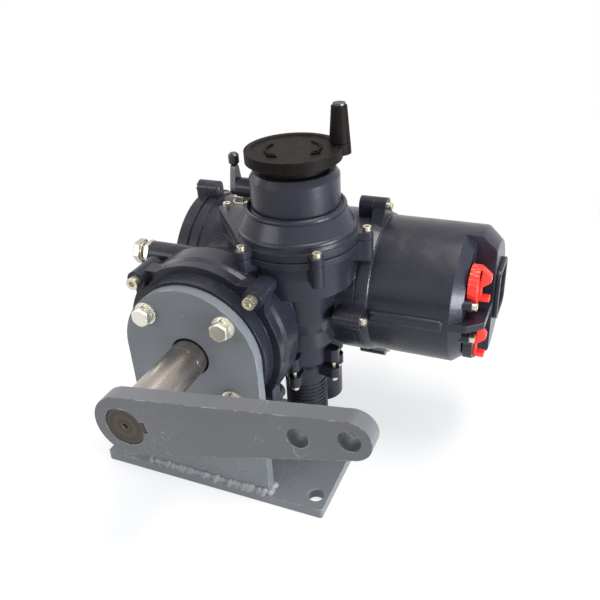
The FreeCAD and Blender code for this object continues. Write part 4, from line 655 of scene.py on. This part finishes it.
def makePlateBolts():
    low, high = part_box("upright_bolts")
    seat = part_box("upright_spring_washers")[0].y
    collarStart = seat - plateBoltSizes["collarDepth"]
    height = shaftPoint[2]
    heads = []
    for x in (-1, 1):
        for z in (-1, 1):
            centre = (x * plateBoltSizes["offset"], height + z * plateBoltSizes["offset"])
            heads.append(hexHead("Y", centre, low.y, collarStart, plateBoltSizes["flats"], -1))
            heads.append(drum("Y", centre, collarStart, seat, plateBoltSizes["collar"]))
            heads.append(drum("Y", centre, seat, high.y, plateBoltSizes["shank"], vertices=32))
    bolts = softened(joined(heads), 0.0004)
    handOver(bolts, "plate_bolts", "housing", "zinc", 30, None, ("upright_bolts",))


def makeStopBolts():
    low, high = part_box("stop_bolts")
    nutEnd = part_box("stop_lock_nuts")[1].x
    across = (low.y + high.y) / 2
    bolts, nuts = [], []
    for side in (-1, 1):
        centre = (across, shaftPoint[2] + side * stopBoltSizes["rise"])
        headEnd = low.x + stopBoltSizes["head"]
        collarEnd = headEnd + stopBoltSizes["collarDepth"]
        nutStart = nutEnd - stopBoltSizes["nut"]
        bolts.append(hexHead("X", centre, low.x, headEnd, stopBoltSizes["flats"], -1))
        bolts.append(drum("X", centre, headEnd, collarEnd, stopBoltSizes["collar"]))
        bolts.append(drum("X", centre, collarEnd, high.x, stopBoltSizes["shank"], vertices=40))
        nuts.append(hexHead("X", centre, nutStart, nutEnd, stopBoltSizes["flats"], 0))
        name = "upper_stop_thread" if side > 0 else "lower_stop_thread"
        makeThread(name, collarEnd, nutStart, centre, "housing", "screw_steel", nickelBolts)
    boltPiece = softened(joined(bolts), 0.0005)
    handOver(boltPiece, "stop_bolt_pair", "housing", "screw_steel", 30, nickelBolts, ("stop_bolts",))
    nutPiece = softened(joined(nuts), 0.0005)
    handOver(nutPiece, "stop_nut_pair", "housing", "screw_steel", 30, nickelBolts, ("stop_lock_nuts",))


makePlateBolts()
makeStopBolts()
print("bolt heads made")


# Selector knobs: a fluted disc, and a grip with a hooked lobe and a thin tab

knobSizes = {"disc": 0.0094, "radius": 0.0200, "flutes": 48, "fluteDepth": 0.0006, "half": 0.0047,
             "web": 0.0022, "lobeTop": 0.0192, "lobeFoot": -0.0030, "tabTop": -0.0130, "tabFoot": -0.0176,
             "spindle": 0.006, "discFoot": 0.0205, "fluteInset": 0.0003, "overlap": 0.001, "sink": 0.0005,
             "tabDrop": 0.0004, "webShare": 0.9, "slopeAlong": 0.0015, "slopeUp": 0.0196,
             "slopeFacing": (0.86, 0, 0.92), "hookUp": 0.0052, "hookFacing": (0.62, 0, -0.75),
             "soft": 0.0006}


def makeKnob(node, body, discSlot, gripSlot):
    low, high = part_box(node)
    centre = Vector((high.x, (low.y + high.y) / 2, (low.z + high.z) / 2))
    spot = (centre.y, centre.z)
    start = high.x - knobSizes["discFoot"]
    face = start + knobSizes["disc"]
    disc = drum("X", spot, start, face, knobSizes["radius"], vertices=knobSizes["flutes"])
    step = 2 * math.pi / knobSizes["flutes"]
    chooseFaces(disc, lambda middle, normal: abs(normal.x) < 0.5 and
                int(math.atan2(middle.z - centre.z, middle.y - centre.y) / step + 100) % 2 == 0)
    bpy.ops.mesh.inset(thickness=knobSizes["fluteInset"], depth=-knobSizes["fluteDepth"],
                       use_individual=True)
    bpy.ops.object.mode_set(mode="OBJECT")
    spindle = drum("X", spot, low.x, start + knobSizes["overlap"], knobSizes["spindle"], vertices=32)
    disc = combined(disc, spindle)
    softened(disc, knobSizes["soft"], 2, 60)
    handOver(disc, node.replace("selector", "fluted"), body, discSlot, 40, None, (node,))
    half = knobSizes["half"]

    def bar(foot, top, reach):
        return block((face - knobSizes["sink"], centre.y - half, centre.z + foot),
                     (reach, centre.y + half, centre.z + top))

    lobe = bar(knobSizes["lobeFoot"], knobSizes["lobeTop"], high.x)
    slope = (face + knobSizes["slopeAlong"], knobSizes["slopeUp"], knobSizes["slopeFacing"])
    hook = (high.x, knobSizes["hookUp"], knobSizes["hookFacing"])
    for along, up, facing in (slope, hook):
        chooseFaces(lobe, lambda middle, direction: True)
        bpy.ops.mesh.bisect(plane_co=(along, centre.y, centre.z + up), plane_no=facing, use_fill=True,
                            clear_outer=True)
        bpy.ops.object.mode_set(mode="OBJECT")
    webTop = knobSizes["lobeTop"] * knobSizes["webShare"]
    grip = combined(lobe, bar(knobSizes["tabFoot"], webTop, face + knobSizes["web"]))
    grip = combined(grip, bar(knobSizes["tabFoot"], knobSizes["tabTop"], high.x - knobSizes["tabDrop"]))
    softened(grip, knobSizes["soft"], 3, 30)
    handOver(grip, node.replace("selector", "grip"), body, gripSlot, 40)


makeKnob("red_selector_knob", "red_knob", "knob_red", "knob_red")
makeKnob("black_selector_knob", "black_knob", "knob_black", "knob_red")
print("selector knobs made")


# Display cover: a turned shell with a sloped flange, screw lugs, bevelled knob bays and a window opening

coverSizes = {"axis": (0.117, 0.187), "start": 0.134, "firstStep": 0.002, "flange": 0.0800,
              "flangeEnd": 0.148, "barrel": 0.0763, "overlap": 0.001, "seatGap": 0.0002,
              "hollow": 0.069, "hollowEnd": 0.228, "lugCircle": 0.092, "lugRadius": 0.009, "webFoot": 0.070,
              "webSetback": 0.0001, "webSpread": 2.7, "bay": 0.246, "bayReach": 0.09, "bayHeight": 0.085,
              "bayEnd": 0.275, "bayRoom": 0.005, "ribHalf": 0.004, "bossSpot": (0.057, 0.019),
              "bossRadius": 0.006, "bossHeight": 0.0085, "bevel": 0.0118, "bevelRadius": 0.0765,
              "bevelDrop": 0.0098, "bevelPast": 0.0004, "bevelBefore": 0.0001, "spindleHole": 0.0063,
              "screenRoom": (0.040, 0.0003, 0.0003), "ridgeSpan": (0.150, 0.2290), "ridgeHalf": 0.0066,
              "ridgeProud": 0.0036, "ridgeDepth": 0.012, "ridgeSoft": 0.0036}
# where the turned shell changes its radius, each a place along X and a radius: flange, barrel, nose
coverSteps = ((0.1395, 0.0800), (0.1472, 0.0778), (0.1480, 0.0770), (0.1486, 0.0763), (0.2500, 0.0763),
              (0.2520, 0.0759), (0.2535, 0.0749), (0.2666, 0.0632), (0.2676, 0.0619), (0.2680, 0.0606))


def grown(piece, steps, fromRadius):
    # draws the face at the upper end out along X, step by step, each step with its own radius
    for place, radius in steps:
        end = max(corner.co.x for corner in piece.data.vertices)
        chooseFaces(piece, lambda centre, normal: normal.x > 0.99 and centre.x > end - 0.00001)
        if place > end:
            bpy.ops.mesh.extrude_region_move(TRANSFORM_OT_translate={"value": (place - end, 0, 0)})
        bpy.ops.transform.resize(value=(1, radius / fromRadius, radius / fromRadius))
        bpy.ops.object.mode_set(mode="OBJECT")
        fromRadius = radius
    return piece


def makeCoverLug(across, up):
    # a round lug with a web to the barrel, which is wide at its foot on the upper and lower lugs
    sizes = coverSizes
    y, z = sizes["axis"]
    start = sizes["start"] + sizes["seatGap"]
    spot = (y + across * sizes["lugCircle"], z + up * sizes["lugCircle"])
    lug = drum("X", spot, start, sizes["flangeEnd"], sizes["lugRadius"], vertices=40)
    inner = Vector((start, y + across * sizes["webFoot"], z + up * sizes["webFoot"]))
    outer = Vector((sizes["flangeEnd"] - sizes["webSetback"], *spot))
    half = Vector((0, sizes["lugRadius"] * abs(up), sizes["lugRadius"] * abs(across)))
    web = block(Vector(map(min, inner, outer)) - half, Vector(map(max, inner, outer)) + half)
    if up:
        chooseFaces(web, lambda centre, normal: abs(centre.z - inner.z) < 0.0001)
        bpy.ops.transform.resize(value=(1, sizes["webSpread"], 1))
        bpy.ops.object.mode_set(mode="OBJECT")
    return combined(lug, web)


def cutKnobBay(cover, side, inner):
    # side is 1 for the upper bay and -1 for the lower; inner is the bay's far wall along Y
    sizes = coverSizes
    y, z = sizes["axis"]
    bay, outer = sizes["bay"], y - sizes["bayReach"]
    near, far = side * sizes["ribHalf"], side * sizes["bayHeight"]
    low, high = z + min(near, far), z + max(near, far)
    cover = combined(cover, block((bay, outer, low), (sizes["bayEnd"], inner, high)), "DIFFERENCE")
    slope = block((bay - sizes["bevel"], outer, low), (bay + sizes["bevelPast"], inner, high))
    cone = drum("X", (y, z), bay - sizes["bevel"] - sizes["bevelBefore"], bay + sizes["overlap"],
                sizes["bevelRadius"], sizes["bevelRadius"] - sizes["bevelDrop"], 144)
    cover = combined(cover, combined(slope, cone, "DIFFERENCE"), "DIFFERENCE")
    spot = (sizes["bossSpot"][0], z + side * sizes["bossSpot"][1])
    boss = drum("X", spot, bay - sizes["overlap"], bay + sizes["bossHeight"], sizes["bossRadius"],
                vertices=36)
    return combined(cover, boss)


def makeDisplayCover():
    sizes = coverSizes
    axis, start, overlap = sizes["axis"], sizes["start"], sizes["overlap"]
    cover = drum("X", axis, start, start + sizes["firstStep"], sizes["flange"], vertices=144)
    cover = grown(cover, coverSteps, sizes["flange"])
    for across, up in ((1, 0), (0, 1), (-1, 0), (0, -1)):
        cover = combined(cover, makeCoverLug(across, up))
    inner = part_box("red_selector_knob")[1].y + sizes["bayRoom"]
    for side in (-1, 1):
        cover = cutKnobBay(cover, side, inner)
    hollow = drum("X", axis, start - overlap, sizes["hollowEnd"], sizes["hollow"], vertices=96)
    cover = combined(cover, hollow, "DIFFERENCE")
    screenLow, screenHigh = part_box("display_screen")
    room = Vector(sizes["screenRoom"])
    cover = combined(cover, block(screenLow - room, screenHigh + room), "DIFFERENCE")
    for node in ("red_selector_knob", "black_selector_knob"):
        low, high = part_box(node)
        spot = ((low.y + high.y) / 2, (low.z + high.z) / 2)
        hole = drum("X", spot, low.x - overlap, sizes["bay"] + overlap, sizes["spindleHole"], vertices=36)
        cover = combined(cover, hole, "DIFFERENCE")
    handOver(cover, "display_cover_casting", "housing", "body_paint", 30, None, ("display_cover",))
    applied(cover, "WEIGHTED_NORMAL", keep_sharp=True)


def makeSideRidge():
    sizes = coverSizes
    y, z = sizes["axis"]
    start, end = sizes["ridgeSpan"]
    ridge = block((start, y - sizes["barrel"] - sizes["ridgeProud"], z - sizes["ridgeHalf"]),
                  (end, y - sizes["barrel"] + sizes["ridgeDepth"], z + sizes["ridgeHalf"]))
    softened(ridge, sizes["ridgeSoft"], 6)
    handOver(ridge, "cover_side_ridge", "housing", "body_paint", 60)


# Bezel round the window: a low frame with large rounded corners

bezelSizes = {"corner": 0.012, "depth": 0.03, "height": 0.0046, "reach": 0.01, "margin": 0.0002,
              "soft": 0.0011}


def makeBezel():
    low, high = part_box("display_bezel")
    windowLow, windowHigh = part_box("display_window")
    deep = Vector((bezelSizes["depth"], 0, 0))
    bezel = block(low - deep, high + deep)
    softened(bezel, bezelSizes["corner"], 10)
    reach = bezelSizes["reach"]
    slab = block((low.x, low.y - reach, low.z - reach),
                 (low.x + bezelSizes["height"], high.y + reach, high.z + reach))
    bezel = combined(bezel, slab, "INTERSECT")
    around = Vector((reach, bezelSizes["margin"], bezelSizes["margin"]))
    bezel = combined(bezel, block(windowLow - around, windowHigh + around), "DIFFERENCE")
    softened(bezel, bezelSizes["soft"], 3, 50)
    handOver(bezel, "display_bezel_frame", "housing", "body_paint", 40, None, ("display_bezel",))


makeDisplayCover()
makeSideRidge()
makeBezel()
print("display cover made")


# Floor, light and camera

def makeStudio():
    bpy.ops.mesh.primitive_plane_add(size=24, location=(0, 0, -0.0004))
    floor = bpy.context.object
    floor.name = "floor"
    finish = Finish("pale floor")
    camera = finish.node("LightPath", output="Is Camera Ray")
    glossy = finish.node("LightPath", output="Is Glossy Ray")
    through = finish.node("LightPath", output="Is Transmission Ray")
    seen = camera.maths("MAXIMUM", camera, glossy.maths("MAXIMUM", glossy, through))
    distance = finish.node("VectorMath", {"operation": "LENGTH"}, {0: finish.place}, "Value")
    whiteness = 0.6 + finish.band(distance, 0.35, 1.0) * 0.4
    grain = finish.noise(3, 2)
    shade = finish.mix(grain, (0.86, 0.86, 0.86, 1), (0.88, 0.88, 0.88, 1))
    matt = finish.node("BsdfDiffuse", None, {"Color": shade})
    glow = finish.node("Emission", None, {"Color": (1, 1, 1, 1), "Strength": 1.0})
    shown = finish.node("MixShader", None, {0: seen * whiteness, 1: matt, 2: glow})
    finish.finishOutput(shown)
    floor.data.materials.append(finish.material)
    world = bpy.data.worlds.new("studio")
    bpy.context.scene.world = world
    world.use_nodes = True
    tree = world.node_tree
    soft = tree.nodes["Background"]
    soft.inputs["Color"].default_value = (0.92, 0.95, 1.0, 1)
    soft.inputs["Strength"].default_value = 0.6
    white = tree.nodes.new("ShaderNodeBackground")
    white.inputs["Color"].default_value = (1, 1, 1, 1)
    white.inputs["Strength"].default_value = 1.0
    rays = tree.nodes.new("ShaderNodeLightPath")
    either = tree.nodes.new("ShaderNodeMixShader")
    seen = rays.outputs["Is Camera Ray"]
    for kind in ("Is Glossy Ray", "Is Transmission Ray"):
        larger = tree.nodes.new("ShaderNodeMath")
        larger.operation = "MAXIMUM"
        tree.links.new(seen, larger.inputs[0])
        tree.links.new(rays.outputs[kind], larger.inputs[1])
        seen = larger.outputs[0]
    tree.links.new(seen, either.inputs[0])
    tree.links.new(soft.outputs[0], either.inputs[1])
    tree.links.new(white.outputs[0], either.inputs[2])
    tree.links.new(either.outputs[0], tree.nodes["World Output"].inputs["Surface"])
    # each lamp's place, width, power and tint
    lamps = {"key": ((0.4, 0.1, 1.35), 0.8, 16, (1, 0.98, 0.95)),
             "front fill": ((-0.9, -1.3, 0.9), 1.0, 9, (0.97, 0.98, 1)),
             "side strip": ((1.2, -0.2, 0.20), 0.5, 18, (0.88, 0.94, 1)),
             "left rim": ((-1.3, 0.3, 0.9), 0.8, 5, (1, 1, 1))}
    for name, (place, size, power, tint) in lamps.items():
        lamp = bpy.data.lights.new(name, "AREA")
        lamp.shape = "RECTANGLE"
        lamp.size = size
        lamp.size_y = size * 0.6
        lamp.energy = power
        lamp.color = tint
        holder = bpy.data.objects.new(name, lamp)
        bpy.context.collection.objects.link(holder)
        holder.location = place
        aim = Vector((0.05, 0.03, 0.18)) - Vector(place)
        holder.rotation_euler = aim.to_track_quat("-Z", "Y").to_euler()


def makeCamera():
    focal, frameSide = 698.18, 600.0  # both in pixels of the photograph
    middle = Vector((285.13, 317.71))
    forward = Vector((-0.3734, 0.7684, -0.5198)).normalized()
    up = Vector((-0.1601, 0.4985, 0.8520)).normalized()
    right = forward.cross(up).normalized()
    up = right.cross(forward)
    lens = bpy.data.cameras.new("camera")
    lens.sensor_width = 36
    lens.lens = focal / frameSide * lens.sensor_width
    lens.shift_x = 0.5 - middle.x / frameSide
    lens.shift_y = middle.y / frameSide - 0.5
    lens.clip_start = 0.01
    camera = bpy.data.objects.new("camera", lens)
    bpy.context.collection.objects.link(camera)
    turn = Matrix((right, up, -forward)).transposed()
    camera.matrix_world = Matrix.Translation((0.3463, -0.5640, 0.5738)) @ turn.to_4x4()
    bpy.context.scene.camera = camera


makeStudio()
makeCamera()
bpy.context.scene.view_settings.view_transform = "Standard"
print("studio ready")
